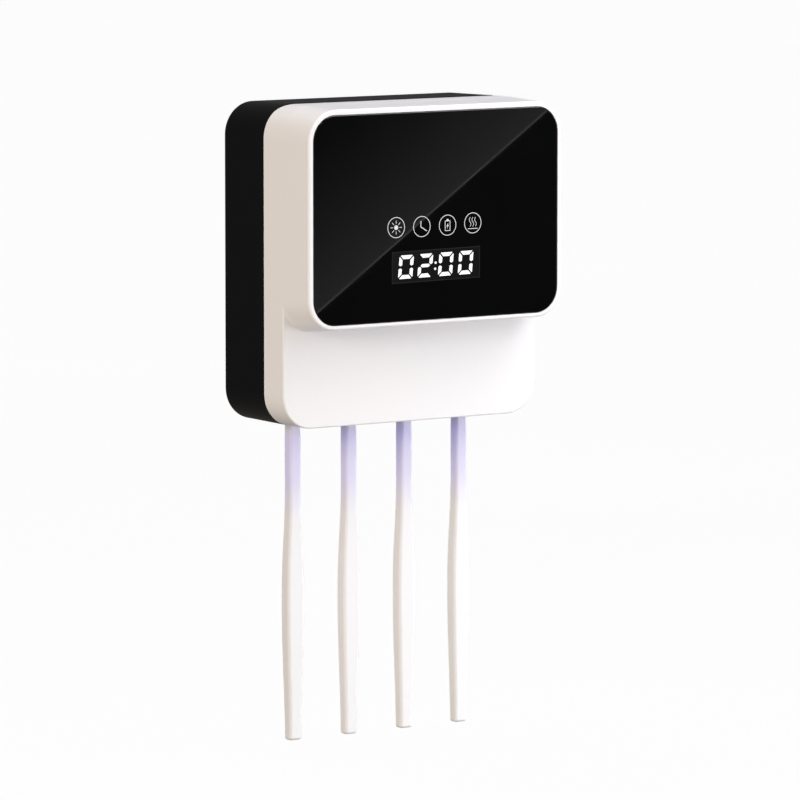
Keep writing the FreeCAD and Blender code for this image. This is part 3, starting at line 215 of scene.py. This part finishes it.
def noise(tree, scale, detail=2.0, stretch=None):
    """Noise in the object's own coordinates, with its scale in features per metre."""
    place = tree.nodes.new("ShaderNodeTexCoord")
    texture = tree.nodes.new("ShaderNodeTexNoise")
    texture.inputs["Scale"].default_value = scale
    texture.inputs["Detail"].default_value = detail
    source = place.outputs["Object"]
    if stretch:
        mapping = tree.nodes.new("ShaderNodeMapping")
        mapping.inputs["Scale"].default_value = stretch
        tree.links.new(source, mapping.inputs["Vector"])
        source = mapping.outputs["Vector"]
    tree.links.new(source, texture.inputs["Vector"])
    return texture.outputs["Fac"]


def coordinate(tree, space, axis):
    """One axis of the object's own coordinates, or of the world's directions."""
    place = tree.nodes.new("ShaderNodeTexCoord")
    split = tree.nodes.new("ShaderNodeSeparateXYZ")
    tree.links.new(place.outputs[space], split.inputs["Vector"])
    return split.outputs[axis]


def spread(tree, source, low, high, start=0.3, end=0.7):
    """Maps start..end of a source, by default the middle of a noise, to low..high, and clamps it."""
    node = tree.nodes.new("ShaderNodeMapRange")
    node.inputs["From Min"].default_value = start
    node.inputs["From Max"].default_value = end
    node.inputs["To Min"].default_value = low
    node.inputs["To Max"].default_value = high
    tree.links.new(source, node.inputs["Value"])
    return node.outputs["Result"]


def arithmetic(tree, operation, first, second):
    """A sum on a socket and on either a number or another socket."""
    node = tree.nodes.new("ShaderNodeMath")
    node.operation = operation
    tree.links.new(first, node.inputs[0])
    if isinstance(second, float):
        node.inputs[1].default_value = second
    else:
        tree.links.new(second, node.inputs[1])
    return node.outputs["Value"]


def two_tone(tree, shader, factor, first, second, socket="Base Color"):
    """Mixes two colours by a factor. The first may be a socket."""
    node = tree.nodes.new("ShaderNodeMix")
    node.data_type = "RGBA"
    if isinstance(first, tuple):
        node.inputs["A"].default_value = colour(*first)
    else:
        tree.links.new(first, node.inputs["A"])
    node.inputs["B"].default_value = colour(*second)
    tree.links.new(factor, node.inputs["Factor"])
    tree.links.new(node.outputs["Result"], shader.inputs[socket])
    return node.outputs["Result"]


def uneven_gloss(tree, shader, source, low, high, **ends):
    """Varies the roughness between two values."""
    tree.links.new(spread(tree, source, low, high, **ends), shader.inputs["Roughness"])


def relief(tree, shader, source, depth, strength=1.0, under=None):
    """Bump of a real depth in metres, over another bump if one is given."""
    node = tree.nodes.new("ShaderNodeBump")
    node.inputs["Distance"].default_value = depth
    node.inputs["Strength"].default_value = strength
    tree.links.new(source, node.inputs["Height"])
    if under:
        tree.links.new(under, node.inputs["Normal"])
    tree.links.new(node.outputs["Normal"], shader.inputs["Normal"])
    return node.outputs["Normal"]


# ------------------------------------------------------------------ materials


def plastic(name, base, roughness, grain=4200.0, grain_depth=3e-6, mottle=0.02, **sockets):
    """Moulded plastic: fine tool grain, faint flow mottle and uneven gloss."""
    material, tree, shader = start_material(name, base, roughness, **sockets)
    flow = noise(tree, scale=18.0, detail=1.0)
    two_tone(tree, shader, spread(tree, flow, 0.0, 1.0, start=0.1, end=0.9), scaled(base, 1 - mottle), base)
    gloss = noise(tree, scale=70.0, detail=1.0)
    low, high = roughness - MOULDED_SPREAD, roughness + MOULDED_SPREAD
    uneven_gloss(tree, shader, gloss, low, high, start=0.0, end=1.0)
    waves = relief(tree, shader, noise(tree, scale=24.0, detail=0.0), depth=4e-6, strength=0.5)
    relief(tree, shader, noise(tree, grain), grain_depth, strength=0.6, under=waves)
    return material


def brush_plastic(name, base):
    """Brush moulding with painted light on its neck: below the shell the base colour is darkened (painted
    shade) and a violet emission stands in for the lamps' light (painted glow).
    """
    material = plastic(name, base, 0.30, grain=1500.0, grain_depth=1e-6, mottle=0.006)
    tree = material.node_tree
    shader = tree.nodes["Principled BSDF"]
    # a band of the neck below the shell, where shade and violet light are painted into the colour
    height = coordinate(tree, "Object", "Z")
    fading = spread(tree, height, 0.0, 1.0, BOTTOM_Z - GLOW_END * MM, BOTTOM_Z - GLOW_FULL * MM)
    hiding = spread(tree, height, 1.0, 0.0, BOTTOM_Z - GLOW_TOP * MM, BOTTOM_Z)
    painted_light_band = arithmetic(tree, "MULTIPLY", fading, hiding)
    own = shader.inputs["Base Color"].links[0].from_socket
    # painted shade: the base colour is darkened in the band; painted violet glow: emission in the same band
    two_tone(tree, shader, painted_light_band, own, NECK_PAINTED_SHADE)
    two_tone(tree, shader, painted_light_band, (0.0, 0.0, 0.0), NECK_PAINTED_GLOW, "Emission Color")
    shader.inputs["Emission Strength"].default_value = 1.0
    return material


def rubber(name, base, roughness):
    """Soft moulding with a matt, slightly dusty skin."""
    material, tree, shader = start_material(name, base, roughness, Specular_IOR_Level=0.3)
    dust = spread(tree, noise(tree, scale=380.0, detail=5.0), 0.0, 1.0)
    two_tone(tree, shader, dust, base, tuple(channel * 0.9 + 0.02 for channel in base))
    uneven_gloss(tree, shader, noise(tree, scale=240.0, detail=3.0), roughness - 0.1, roughness + 0.08)
    relief(tree, shader, noise(tree, scale=3000.0, detail=3.0), depth=1.2e-5, strength=0.8)
    return material


def foam(name, base):
    """Closed-cell foam: small open bubbles over the surface."""
    material, tree, shader = start_material(name, base, 0.9, Specular_IOR_Level=0.2)
    place = tree.nodes.new("ShaderNodeTexCoord")
    cells = tree.nodes.new("ShaderNodeTexVoronoi")
    cells.inputs["Scale"].default_value = 2200.0
    tree.links.new(place.outputs["Object"], cells.inputs["Vector"])
    # painted shade in the bubble hollows and painted light on their rims: darker at each cell's centre,
    # lighter towards its edge
    two_tone(tree, shader, cells.outputs["Distance"], scaled(base, 0.6), scaled(base, 1.3))
    relief(tree, shader, cells.outputs["Distance"], depth=8e-5, strength=0.8)
    return material


def metal(name, base, roughness, stretch, depth=4e-6):
    """Drawn or turned metal: fine lines along one direction and uneven polish."""
    material, tree, shader = start_material(name, base, roughness, Metallic=1.0)
    lines = noise(tree, 900.0, 4.0, stretch)
    two_tone(tree, shader, spread(tree, lines, 0.0, 1.0), scaled(base, 0.82), base)
    polish = noise(tree, scale=300.0, detail=3.0)
    uneven_gloss(tree, shader, polish, roughness - POLISH_SPREAD, roughness + POLISH_SPREAD)
    relief(tree, shader, lines, depth, strength=0.5)
    return material


def circuit(name, mask, copper):
    """Solder mask with the copper tracks showing faintly through it."""
    material, tree, shader = start_material(name, mask, 0.35, Coat_Weight=0.3)
    place = tree.nodes.new("ShaderNodeTexCoord")
    tracks = tree.nodes.new("ShaderNodeTexBrick")
    tracks.inputs["Scale"].default_value = 170.0
    tracks.inputs["Mortar Size"].default_value = 0.035
    tracks.inputs["Color1"].default_value = colour(0, 0, 0)
    tracks.inputs["Color2"].default_value = colour(0, 0, 0)
    tracks.inputs["Mortar"].default_value = colour(1, 1, 1)
    turn = tree.nodes.new("ShaderNodeMapping")
    turn.inputs["Rotation"].default_value = (math.pi / 2, 0, 0)
    tree.links.new(place.outputs["Object"], turn.inputs["Vector"])
    tree.links.new(turn.outputs["Vector"], tracks.inputs["Vector"])
    two_tone(tree, shader, tracks.outputs["Color"], mask, copper)
    relief(tree, shader, tracks.outputs["Color"], depth=2e-5, strength=0.6)
    return material


def lit(name, base, glow, strength):
    """A lamp or lit print: its own light through a slightly uneven diffuser."""
    material, tree, shader = start_material(name, base, 0.4, Emission_Strength=strength)
    patch = spread(tree, noise(tree, scale=900.0), 0.0, 1.0)
    two_tone(tree, shader, patch, scaled(glow, 0.96), glow, "Emission Color")
    return material


def clear_plastic(name, tint, roughness):
    """Clear moulding with a slight ripple."""
    material, tree, shader = start_material(name, tint, roughness, Transmission_Weight=0.92, IOR=1.49)
    uneven_gloss(tree, shader, noise(tree, scale=200.0, detail=3.0), roughness, roughness + 0.06)
    relief(tree, shader, noise(tree, scale=60.0, detail=1.0), depth=1e-5, strength=0.4)
    return material


def panel_glass(name):
    """Black back-printed glass: a clean polished face, with faint cloth marks in its gloss."""
    material, tree, shader = start_material(name, (0.0028, 0.0028, 0.003), 0.012, IOR=1.5)
    smear = noise(tree, scale=14.0, detail=5.0, stretch=(1.0, 1.0, 3.0))
    uneven_gloss(tree, shader, smear, 0.006, 0.02)
    two_tone(tree, shader, spread(tree, noise(tree, scale=40.0), 0.0, 1.0),
             (0.0026, 0.0026, 0.0028), (0.0031, 0.0031, 0.0034))
    return material


MATERIALS = {
    "shell_white": plastic("white_gloss_abs", (0.86, 0.857, 0.875), 0.30, mottle=0.006),
    "shell_black": plastic("black_satin_abs", (0.0028, 0.0028, 0.0030), 0.44, grain=3000.0,
                           grain_depth=9e-6, mottle=0.15, Specular_IOR_Level=0.10),
    "panel_black": panel_glass("black_glass"),
    "inner_white": plastic("white_satin_abs", (0.82, 0.82, 0.82), 0.42, grain_depth=8e-6, mottle=0.015),
    "rack_white": plastic("white_rack_abs", (0.80, 0.80, 0.79), 0.38, grain_depth=6e-6, mottle=0.02),
    "clear_lens": clear_plastic("clear_acrylic", (0.95, 0.95, 0.98), 0.05),
    "seal_rubber": rubber("seal_silicone", (0.55, 0.55, 0.56), 0.6),
    "white_rubber": rubber("white_silicone", (0.78, 0.78, 0.77), 0.5),
    "foam_black": foam("black_foam_tape", (0.02, 0.02, 0.02)),
    "pad_grey": foam("grey_foam_pad", (0.35, 0.35, 0.36)),
    "circuit_green": circuit("green_circuit_board", (0.008, 0.10, 0.035), (0.03, 0.22, 0.08)),
    "lamp_housing": lit("violet_lamp", (0.55, 0.5, 0.8), (0.42, 0.30, 1.0), 3.0),
    "bright_sheet": metal("bright_reflector", (0.90, 0.90, 0.91), 0.2, (1.0, 1.0, 0.02), 1e-6),
    "steel": metal("zinc_plated_steel", (0.62, 0.62, 0.60), 0.32, (1.0, 0.2, 1.0)),
    "magnet_nickel": metal("nickel_plate", (0.66, 0.63, 0.58), 0.18, (1.0, 1.0, 1.0), 2e-6),
    "spring_steel": metal("spring_steel", (0.50, 0.50, 0.50), 0.31, (0.3, 1.0, 0.3)),
    "fan_black": plastic("black_nylon", (0.012, 0.012, 0.013), 0.5, grain_depth=1e-5, mottle=0.2),
    "heater_alloy": metal("heater_alloy", (0.72, 0.71, 0.70), 0.4, (0.2, 1.0, 1.0)),
    "copper_winding": metal("copper_winding", (0.72, 0.30, 0.14), 0.31, (1.0, 9.0, 1.0), 3e-5),
    "cell_wrap": plastic("cell_wrap", (0.02, 0.12, 0.35), 0.25, grain_depth=2e-6, mottle=0.08),
    "bracket_grey": plastic("bracket_abs", (0.10, 0.10, 0.105), 0.5, grain_depth=1.2e-5, mottle=0.06),
    "brush_white": brush_plastic("brush_polypropylene", (0.85, 0.852, 0.87)),
    "bristle_white": plastic("bristle_nylon", (0.84, 0.85, 0.86), 0.35, grain_depth=1e-6, mottle=0.04),
}
LIT_PRINT = lit("lit_white_figures", (0.3, 0.3, 0.3), (1.0, 1.0, 1.0), 0.85)
LIT_ICONS = lit("lit_white_icons", (0.25, 0.25, 0.25), (0.92, 0.92, 0.93), 0.62)
SMOKED = plastic("smoked_window", (0.0068, 0.0068, 0.0071), 0.12, grain_depth=2e-6, mottle=0.1)
SMOKED_EDGE = plastic("window_border", (0.0125, 0.0125, 0.013), 0.2, grain_depth=2e-6, mottle=0.1)


def dress_frame():
    """Gives each carried-over node the material of its slot."""
    for part in frame["record"]["subparts"]:
        mesh = frame["nodes"][part["node"]].data
        mesh.materials.clear()
        mesh.materials.append(MATERIALS[part["material_slot"]])


# ------------------------------------------------------------------ mesh helpers


def mesh_piece(name, bm, material, body):
    """Turns a bmesh into a piece that rides on a body."""
    bmesh.ops.recalc_face_normals(bm, faces=bm.faces)
    mesh = bpy.data.meshes.new(name)
    bm.to_mesh(mesh)
    bm.free()
    mesh.materials.append(material)
    piece = bpy.data.objects.new(name, mesh)
    bpy.context.scene.collection.objects.link(piece)
    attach(piece, body)
    return piece


def bridge(bm, first, second):
    """Quads between two closed loops with the same number of points."""
    for index in range(len(first)):
        after = (index + 1) % len(first)
        bm.faces.new((first[index], first[after], second[after], second[index]))


def panel_point(x, height, proud):
    """A point of the display, from millimetres across and up the shell, this far in front of the glass."""
    return Vector((x * MM, FRONT_Y - proud * MM, BOTTOM_Z + height * MM))


def plate_from(bm, outline, proud):
    """A thin closed plate with this outline, proud of the glass and sunk a little into it."""
    front = [bm.verts.new(panel_point(x, height, proud)) for x, height in outline]
    back = [bm.verts.new(panel_point(x, height, -PRINT_SUNK)) for x, height in outline]
    for a, b, c in tessellate_polygon([[vertex.co for vertex in front]]):
        bm.faces.new((front[a], front[b], front[c]))
        bm.faces.new((back[c], back[b], back[a]))
    bridge(bm, front, back)


def disc_outline(x, height, radius, steps=24):
    """A circle round a display point."""
    return [(x + radius * math.cos(angle), height + radius * math.sin(angle)) for angle in full_turn(steps)]


def ring_on(bm, x, height, outer, inner, proud, steps=64):
    """A flat closed ring on the glass."""
    loops = []
    for radius, depth in ((outer, proud), (inner, proud), (inner, -PRINT_SUNK), (outer, -PRINT_SUNK)):
        outline = disc_outline(x, height, radius, steps)
        loops.append([bm.verts.new(panel_point(across, up, depth)) for across, up in outline])
    for loop, following in zip(loops, loops[1:] + loops[:1]):
        bridge(bm, loop, following)


def ribbon_outline(points, width, cap_steps=6):
    """The outline of a line of this width with round ends."""
    path = [Vector(point) for point in points]
    half = width / 2
    left, right = [], []
    for index, point in enumerate(path):
        before = (point - path[index - 1]).normalized() if index else None
        after = (path[index + 1] - point).normalized() if index + 1 < len(path) else None
        arriving, leaving = before or after, after or before
        ahead = (arriving + leaving).normalized()
        side = Vector((-ahead.y, ahead.x))
        # the mitre at a turn reaches further out, up to a limit
        reach = half / max(MITRE_LIMIT, side.dot(Vector((-arriving.y, arriving.x))))
        left.append(point + side * reach)
        right.append(point - side * reach)

    def cap(centre, first):
        arm = first - centre
        turned = []
        for step in range(1, cap_steps):
            angle = -math.pi * step / cap_steps
            turned.append(centre + Vector((arm.x * math.cos(angle) - arm.y * math.sin(angle),
                                           arm.x * math.sin(angle) + arm.y * math.cos(angle))))
        return turned

    outline = left + cap(path[-1], left[-1]) + right[::-1] + cap(path[0], right[0])
    return [tuple(point) for point in outline]


def rounded_outline(x0, x1, z0, z1, radius, inset=0.0, steps=12):
    """Rounded rectangle, drawn in by inset."""
    radius = radius - inset
    left, right = x0 + inset + radius, x1 - inset - radius
    low, high = z0 + inset + radius, z1 - inset - radius
    points = []
    corners = ((right, low, -90), (right, high, 0), (left, high, 90), (left, low, 180))
    for centre_x, centre_z, start in corners:
        for step in range(steps + 1):
            angle = math.radians(start + 90 * step / steps)
            points.append((centre_x + radius * math.cos(angle), centre_z + radius * math.sin(angle)))
    return points


def rectangle(left, right, low, high):
    """Its four corners, once round."""
    return [(left, low), (right, low), (right, high), (left, high)]


# ------------------------------------------------------------------ display


def glass_panel():
    """The panel glass with its polished arris and rounded corners."""
    corner, arris = GLASS_CORNER * MM, GLASS_ARRIS * MM
    y_front, y_back = GLASS_LOW.y, GLASS_HIGH.y
    rings = ((y_back, arris * 0.5), (y_back - arris * 0.5, 0.0), (y_front + arris, 0.0),
             (y_front + arris * 0.35, arris * 0.3), (y_front, arris))
    bm = bmesh.new()
    loops = []
    for y, inset in rings:
        outline = rounded_outline(GLASS_LOW.x, GLASS_HIGH.x, GLASS_LOW.z, GLASS_HIGH.z, corner, inset)
        loops.append([bm.verts.new((x, y, z)) for x, z in outline])
    for lower, upper in zip(loops, loops[1:]):
        bridge(bm, lower, upper)
    bm.faces.new(loops[0])
    bm.faces.new(loops[-1])
    piece = mesh_piece("glass_panel", bm, MATERIALS["panel_black"], "cover")
    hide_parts("display_glass")


def segment_outlines(w, h, s, g, k):
    """The seven bars of a digit in a w by h cell: stroke s, gap g at the mitres, corners cut by k."""
    mid = h / 2
    end = s * 0.55
    thin = s * 0.43
    top = [(k, h), (w - k, h), (w - (k + g) / 2, h - (k - g) / 2), (w - s - g, h - s), (s + g, h - s),
           ((k + g) / 2, h - (k - g) / 2)]
    right_high = [(w, h - k), (w, mid + end), (w - s / 2, mid + g), (w - s, mid + end), (w - s, h - s - g),
                  (w - (k - g) / 2, h - (k + g) / 2)]
    middle = [(s / 2 + g, mid), (s + g, mid + thin), (w - s - g, mid + thin), (w - s / 2 - g, mid),
              (w - s - g, mid - thin), (s + g, mid - thin)]

    def flip_up(points):
        return [(x, h - z) for x, z in points]

    def flip_side(points):
        return [(w - x, z) for x, z in points]

    left_high = flip_side(right_high)
    return {"a": top, "b": right_high, "c": flip_up(right_high), "d": flip_up(top), "e": flip_up(left_high),
            "f": left_high, "g": middle}


def climbing(outline):
    """The outline sheared so that it rises to the right."""
    return [(x, z + PRINT_CLIMB * x) for x, z in outline]


def digits():
    """The lit time, in slanted seven-bar figures."""
    bars = segment_outlines(DIGIT_W, DIGIT_H, DIGIT_STROKE, DIGIT_GAP, DIGIT_CORNER)
    bm = bmesh.new()
    for figure, left in zip(DIGIT_TEXT, DIGIT_X):
        for bar in LIT_SEGMENTS[figure]:
            outline = [(left + x + DIGIT_SLANT * z, DIGIT_LOW + z) for x, z in bars[bar]]
            plate_from(bm, climbing(outline), FIGURE_T)
    for x, height in COLON:
        plate_from(bm, disc_outline(x, height, COLON_R), FIGURE_T)
    mesh_piece("time_figures", bm, LIT_PRINT, "cover")


def display_window():
    """The smoked strip that the figures show through, and its fine border."""
    left, right, low, high = WINDOW
    line = WINDOW_LINE
    bm = bmesh.new()
    plate_from(bm, climbing(rounded_outline(*WINDOW, WINDOW_CORNER, steps=3)), PRINT_T)
    mesh_piece("display_window", bm, SMOKED, "cover")
    bm = bmesh.new()
    edges = ((left, right, high - line, high), (left, right, low, low + line),
             (left, left + line, low + line, high - line), (right - line, right, low + line, high - line))
    for edge in edges:
        plate_from(bm, climbing(rectangle(*edge)), BORDER_T)
    mesh_piece("window_border", bm, SMOKED_EDGE, "cover")


def glyph_line(bm, points, weight):
    """A drawn line of an icon, with its weight as a share of the usual one."""
    plate_from(bm, ribbon_outline(points, GLYPH_LINE * weight), PRINT_T)


def lamp_glyph(bm, cx, cz):
    """A lamp with its rays, for the light treatment."""
    lamp_r, ray_start, ray_end = 1.15, 2.0, 3.2
    plate_from(bm, disc_outline(cx, cz, lamp_r), PRINT_T)
    for ray in range(8):
        angle = math.radians(45 * ray)
        ends = [(cx + r * math.cos(angle), cz + r * math.sin(angle)) for r in (ray_start, ray_end)]
        glyph_line(bm, ends, 0.8)


def clock_glyph(bm, cx, cz):
    """Two clock hands."""
    glyph_line(bm, [(cx - 0.5, cz + 2.6), (cx - 0.6, cz - 0.1), (cx + 2.7, cz - 2.15)], 1.15)


def battery_glyph(bm, cx, cz):
    """A cell with its terminal and a charge bolt."""
    half_w, low, high = 1.45, -2.65, 2.05
    terminal_half, terminal_top, terminal_h = 0.8, 0.5, 0.9
    case = rectangle(cx - half_w, cx + half_w, cz + low, cz + high)
    for ends in zip(case, case[1:] + case[:1]):
        glyph_line(bm, ends, 0.85)
    terminal = [(-terminal_half, high), (terminal_half, high), (terminal_top, high + terminal_h),
                (-terminal_top, high + terminal_h)]
    bolt = [(0.3, 1.1), (-0.65, -0.55), (-0.1, -0.45), (-0.3, -1.7), (0.65, 0.1), (0.1, 0.0)]
    for outline in (terminal, bolt):
        plate_from(bm, [(cx + x, cz + z) for x, z in outline], PRINT_T)


def steam_glyph(bm, cx, cz):
    """Three rising waves over a bar, for warm-air drying."""
    foot, rise, sway, steps = -1.6, 4.3, 0.5, 14
    bar_half, bar_z = 2.75, -2.75
    for column in (-1.6, 0.0, 1.6):
        wave = []
        for step in range(steps + 1):
            share = step / steps
            wave.append((cx + column + sway * math.sin(2 * math.pi * share), cz + foot + rise * share))
        glyph_line(bm, wave, 0.7)
    glyph_line(bm, [(cx - bar_half, cz + bar_z), (cx + bar_half, cz + bar_z)], 0.9)


def icons():
    """The four lit marks, each in its ring."""
    bm = bmesh.new()
    glyphs = (lamp_glyph, clock_glyph, battery_glyph, steam_glyph)
    for cx, cz, glyph in zip(ICON_X, ICON_H, glyphs):
        ring_on(bm, cx, cz, ICON_R, ICON_R - ICON_LINE, PRINT_T)
        glyph(bm, cx, cz)
    mesh_piece("lit_icons", bm, LIT_ICONS, "cover")


# ------------------------------------------------------------------ brushes


def filament(bm, box, root, tip, offset, radius):
    """One closed hair, from root to tip, kept inside the bristle block. Offset is its place in the tuft."""
    low, high = box
    rings = []
    for end, reach, thick in ((root, ROOT_GATHER, ROOT_THICK), (tip, TIP_SPLAY, TIP_THICK)):
        ring = []
        for turn in full_turn(FILAMENT_SIDES):
            x = end.x + offset[0] * reach + radius * thick * math.cos(turn)
            z = end.z + offset[1] * reach + radius * thick * math.sin(turn)
            ring.append(bm.verts.new((min(max(x, low.x), high.x), end.y, min(max(z, low.z), high.z))))
        rings.append(ring)
    bridge(bm, *rings)
    bm.faces.new(rings[0])
    bm.faces.new(rings[1])


def tufts(brush):
    """The tufts of one brush head, each a bundle of filaments with cut, slightly splayed ends."""
    low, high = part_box(brush + "_bristles")
    width = high.x - low.x
    height = high.z - low.z
    centre_x = (low.x + high.x) / 2
    tuft_r = height / TUFT_COLUMNS * TUFT_FILL
    bm = bmesh.new()
    for column in range(TUFT_COLUMNS):
        z = low.z + height * (column + 0.5) / TUFT_COLUMNS
        end_share = abs(column + 0.5 - TUFT_COLUMNS / 2) / (TUFT_COLUMNS / 2)
        rows = TUFT_ROWS if end_share < FULL_WIDTH_SHARE else MIDDLE_ROWS
        for row, across in enumerate(rows):
            x = centre_x + across * width
            trim = abs(TRIM_MM * MM * math.cos(TRIM_BY_COLUMN * column + TRIM_BY_ROW * row))
            for hair in range(FILAMENTS):
                reach = tuft_r * math.sqrt((hair + 0.5) / FILAMENTS)
                angle = GOLDEN_ANGLE * hair
                stagger = STAGGER_MM * MM * ((hair * STAGGER_STRIDE) % STAGGER_STEPS) / STAGGER_STEPS
                # the filaments stand out of the head towards the user
                root = Vector((x, high.y, z))
                tip = Vector((x, low.y + trim + stagger, z))
                offset = (reach * math.cos(angle), reach * math.sin(angle))
                filament(bm, (low, high), root, tip, offset, tuft_r / TUFT_TO_FILAMENT)
    piece = mesh_piece(brush + "_tufts", bm, MATERIALS["bristle_white"], brush)
    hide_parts(brush + "_bristles")


# ------------------------------------------------------------------ studio


def add_object(name, data):
    """A new object in the scene."""
    item = bpy.data.objects.new(name, data)
    bpy.context.scene.collection.objects.link(item)
    return item


def point_at(item, at, aim):
    """Places a lamp or camera and turns it to look at aim."""
    item.location = at
    item.rotation_mode = "QUATERNION"
    item.rotation_quaternion = (Vector(aim) - Vector(at)).to_track_quat("-Z", "Y")


def add_camera():
    """A long lens from the front left, slightly above."""
    data = bpy.data.cameras.new("camera")
    data.lens = LENS_MM
    data.sensor_width = SENSOR_MM
    data.clip_start = CLIP_NEAR
    data.clip_end = CLIP_FAR
    camera = add_object("camera", data)
    point_at(camera, CAMERA_AT, CAMERA_AIM)
    bpy.context.scene.camera = camera


def area_light(name, at, aim, size, watts, tint, glossy=True, size_y=None):
    """A soft light that the camera doesn't see: a square, or a strip if size_y is given."""
    data = bpy.data.lights.new(name, "AREA")
    data.energy = watts
    data.color = tint
    data.shape = "RECTANGLE" if size_y else "SQUARE"
    data.size = size
    if size_y:
        data.size_y = size_y
    light = add_object(name, data)
    point_at(light, at, aim)
    light.visible_camera = False
    light.visible_glossy = glossy
    return light


def emitter(name, strength):
    """A plain glowing surface, with its tree and emission node for a gradient."""
    material = bpy.data.materials.new(name)
    material.use_nodes = True
    tree = material.node_tree
    tree.nodes.remove(tree.nodes["Principled BSDF"])
    glow = tree.nodes.new("ShaderNodeEmission")
    glow.inputs["Strength"].default_value = strength
    tree.links.new(glow.outputs["Emission"], tree.nodes["Material Output"].inputs["Surface"])
    return material, tree, glow


def stage_sheet(name, corners, material, camera=False):
    """A flat four-cornered studio sheet, seen either by the camera or in reflections."""
    mesh = bpy.data.meshes.new(name)
    mesh.from_pydata(corners, [], [(0, 1, 2, 3)])
    mesh.materials.append(material)
    sheet = add_object(name, mesh)
    sheet.visible_camera = camera
    sheet.visible_transmission = camera
    sheet.visible_glossy = not camera
    sheet.visible_diffuse = False
    sheet.visible_shadow = False
    sheet.visible_volume_scatter = False
    return sheet


def mirrored(panel_place, centre, facing):
    """The point of the plane through centre that the camera sees reflected at this panel point."""
    ray = panel_point(*panel_place, 0) - CAMERA_MIRRORED
    return CAMERA_MIRRORED + ray * ((centre - CAMERA_MIRRORED).dot(facing) / ray.dot(facing))


def card_material(depth):
    """Glow that falls away from a bright line along the card's edge, over this depth in metres."""
    material, tree, glow = emitter("card_glow", CARD_GLOW)
    from_edge = coordinate(tree, "Object", "Y")
    left = spread(tree, from_edge, 1.0, 0.0, 0.0, depth)
    fade = arithmetic(tree, "MULTIPLY", arithmetic(tree, "POWER", left, CARD_FALL), CARD_GLOW)
    line = spread(tree, from_edge, CARD_LINE_GLOW, 0.0, CARD_LINE_IN, CARD_LINE_OUT)
    tree.links.new(arithmetic(tree, "MAXIMUM", fade, line), glow.inputs["Strength"])
    return material


def reflection_cards():
    """A soft card whose straight edge shows on the glass, and a black flag behind it."""
    middle = panel_point(*PANEL_MIDDLE, 0)
    facing = (middle - CAMERA_MIRRORED).normalized()
    centre = middle + facing * CARD_DISTANCE
    high = mirrored(CARD_EDGE_HIGH, centre, facing)
    low = mirrored(CARD_EDGE_LOW, centre, facing)
    run = (high - low).length
    along = (high - low).normalized()
    inward = mirrored(CARD_FAR_CORNER, centre, facing) - low
    inward = inward - along * inward.dot(along)
    depth = inward.length
    inward = inward.normalized()
    start = low - along * run * CARD_SPARE
    end = high + along * run * CARD_SPARE
    length, reach = (end - start).length, depth * CARD_REACH
    corners = [(0, 0, 0), (length, 0, 0), (length, reach, 0), (0, reach, 0)]
    card = stage_sheet("card", corners, card_material(depth))
    # the card's own axes run along its edge, away from its edge, and square to both
    axes = Matrix((along, inward, along.cross(inward))).transposed()
    card.matrix_world = Matrix.Translation(start) @ axes.to_4x4()
    black, _, _ = emitter("flag_black", 0.0)
    half = run * FLAG_HALF_SHARE
    back = centre + facing * FLAG_BEHIND
    corners = [back + along * x + inward * y for x, y in rectangle(-half, half, -half, half)]
    stage_sheet("flag", corners, black)


def floor():
    """A pale floor that runs past the horizon of the picture."""
    material, tree, shader = start_material("pale_floor", (0.92, 0.92, 0.92), 0.8, Specular_IOR_Level=0.1,
                                            Emission_Strength=FLOOR_GLOW)
    tint = spread(tree, noise(tree, scale=0.6, detail=3.0), 0.0, 1.0)
    two_tone(tree, shader, tint, (0.99, 0.99, 0.99), (1.0, 1.0, 1.0), "Emission Color")
    square = rectangle(-FLOOR_HALF, FLOOR_HALF, -FLOOR_HALF, FLOOR_HALF)
    stage_sheet("floor", [(x, y, FLOOR_Z) for x, y in square], material, camera=True)


def surroundings():
    """Grey surroundings: lighter in the room than towards the wall, warmer towards the ground."""
    world = bpy.data.worlds.new("studio")
    world.use_nodes = True
    tree = world.node_tree
    background = tree.nodes["Background"]
    towards_wall = spread(tree, coordinate(tree, "Generated", "Y"), 0.0, 1.0, start=-0.35, end=0.45)
    towards_ground = spread(tree, coordinate(tree, "Generated", "Z"), 1.0, 0.0, start=-0.5, end=-0.05)
    above = two_tone(tree, background, towards_wall, ROOM_SIDE, WALL_SIDE, "Color")
    two_tone(tree, background, towards_ground, above, GROUND_SIDE, "Color")
    bpy.context.scene.world = world
    bpy.context.scene.view_settings.view_transform = "Standard"


def studio_lights():
    """Soft squares of light, all turned to the object."""
    for name, place, size, watts, tint, glossy in STUDIO_LIGHTS:
        area_light(name, STUDIO_CENTRE + Vector(place), STUDIO_CENTRE, size, watts, tint, glossy)


def lamp_spill():
    """Violet light of the lamps that comes out under the cover and falls on the necks."""
    at = Vector((0.0, SPILL_Y, BOTTOM_Z - SPILL_BELOW))
    spill = area_light("lamp_spill", at, at + Vector(SPILL_THROW), SPILL_WIDTH, SPILL_WATTS, SPILL_TINT,
                       size_y=SPILL_DEPTH)
    bpy.context.view_layer.update()
    placed = spill.matrix_world.copy()
    spill.parent = frame["bodies"]["cover"]
    spill.matrix_world = placed


dress_frame()
glass_panel()
display_window()
digits()
icons()
for brush_name in BRUSHES:
    tufts(brush_name)
add_camera()
surroundings()
studio_lights()
floor()
reflection_cards()
lamp_spill()
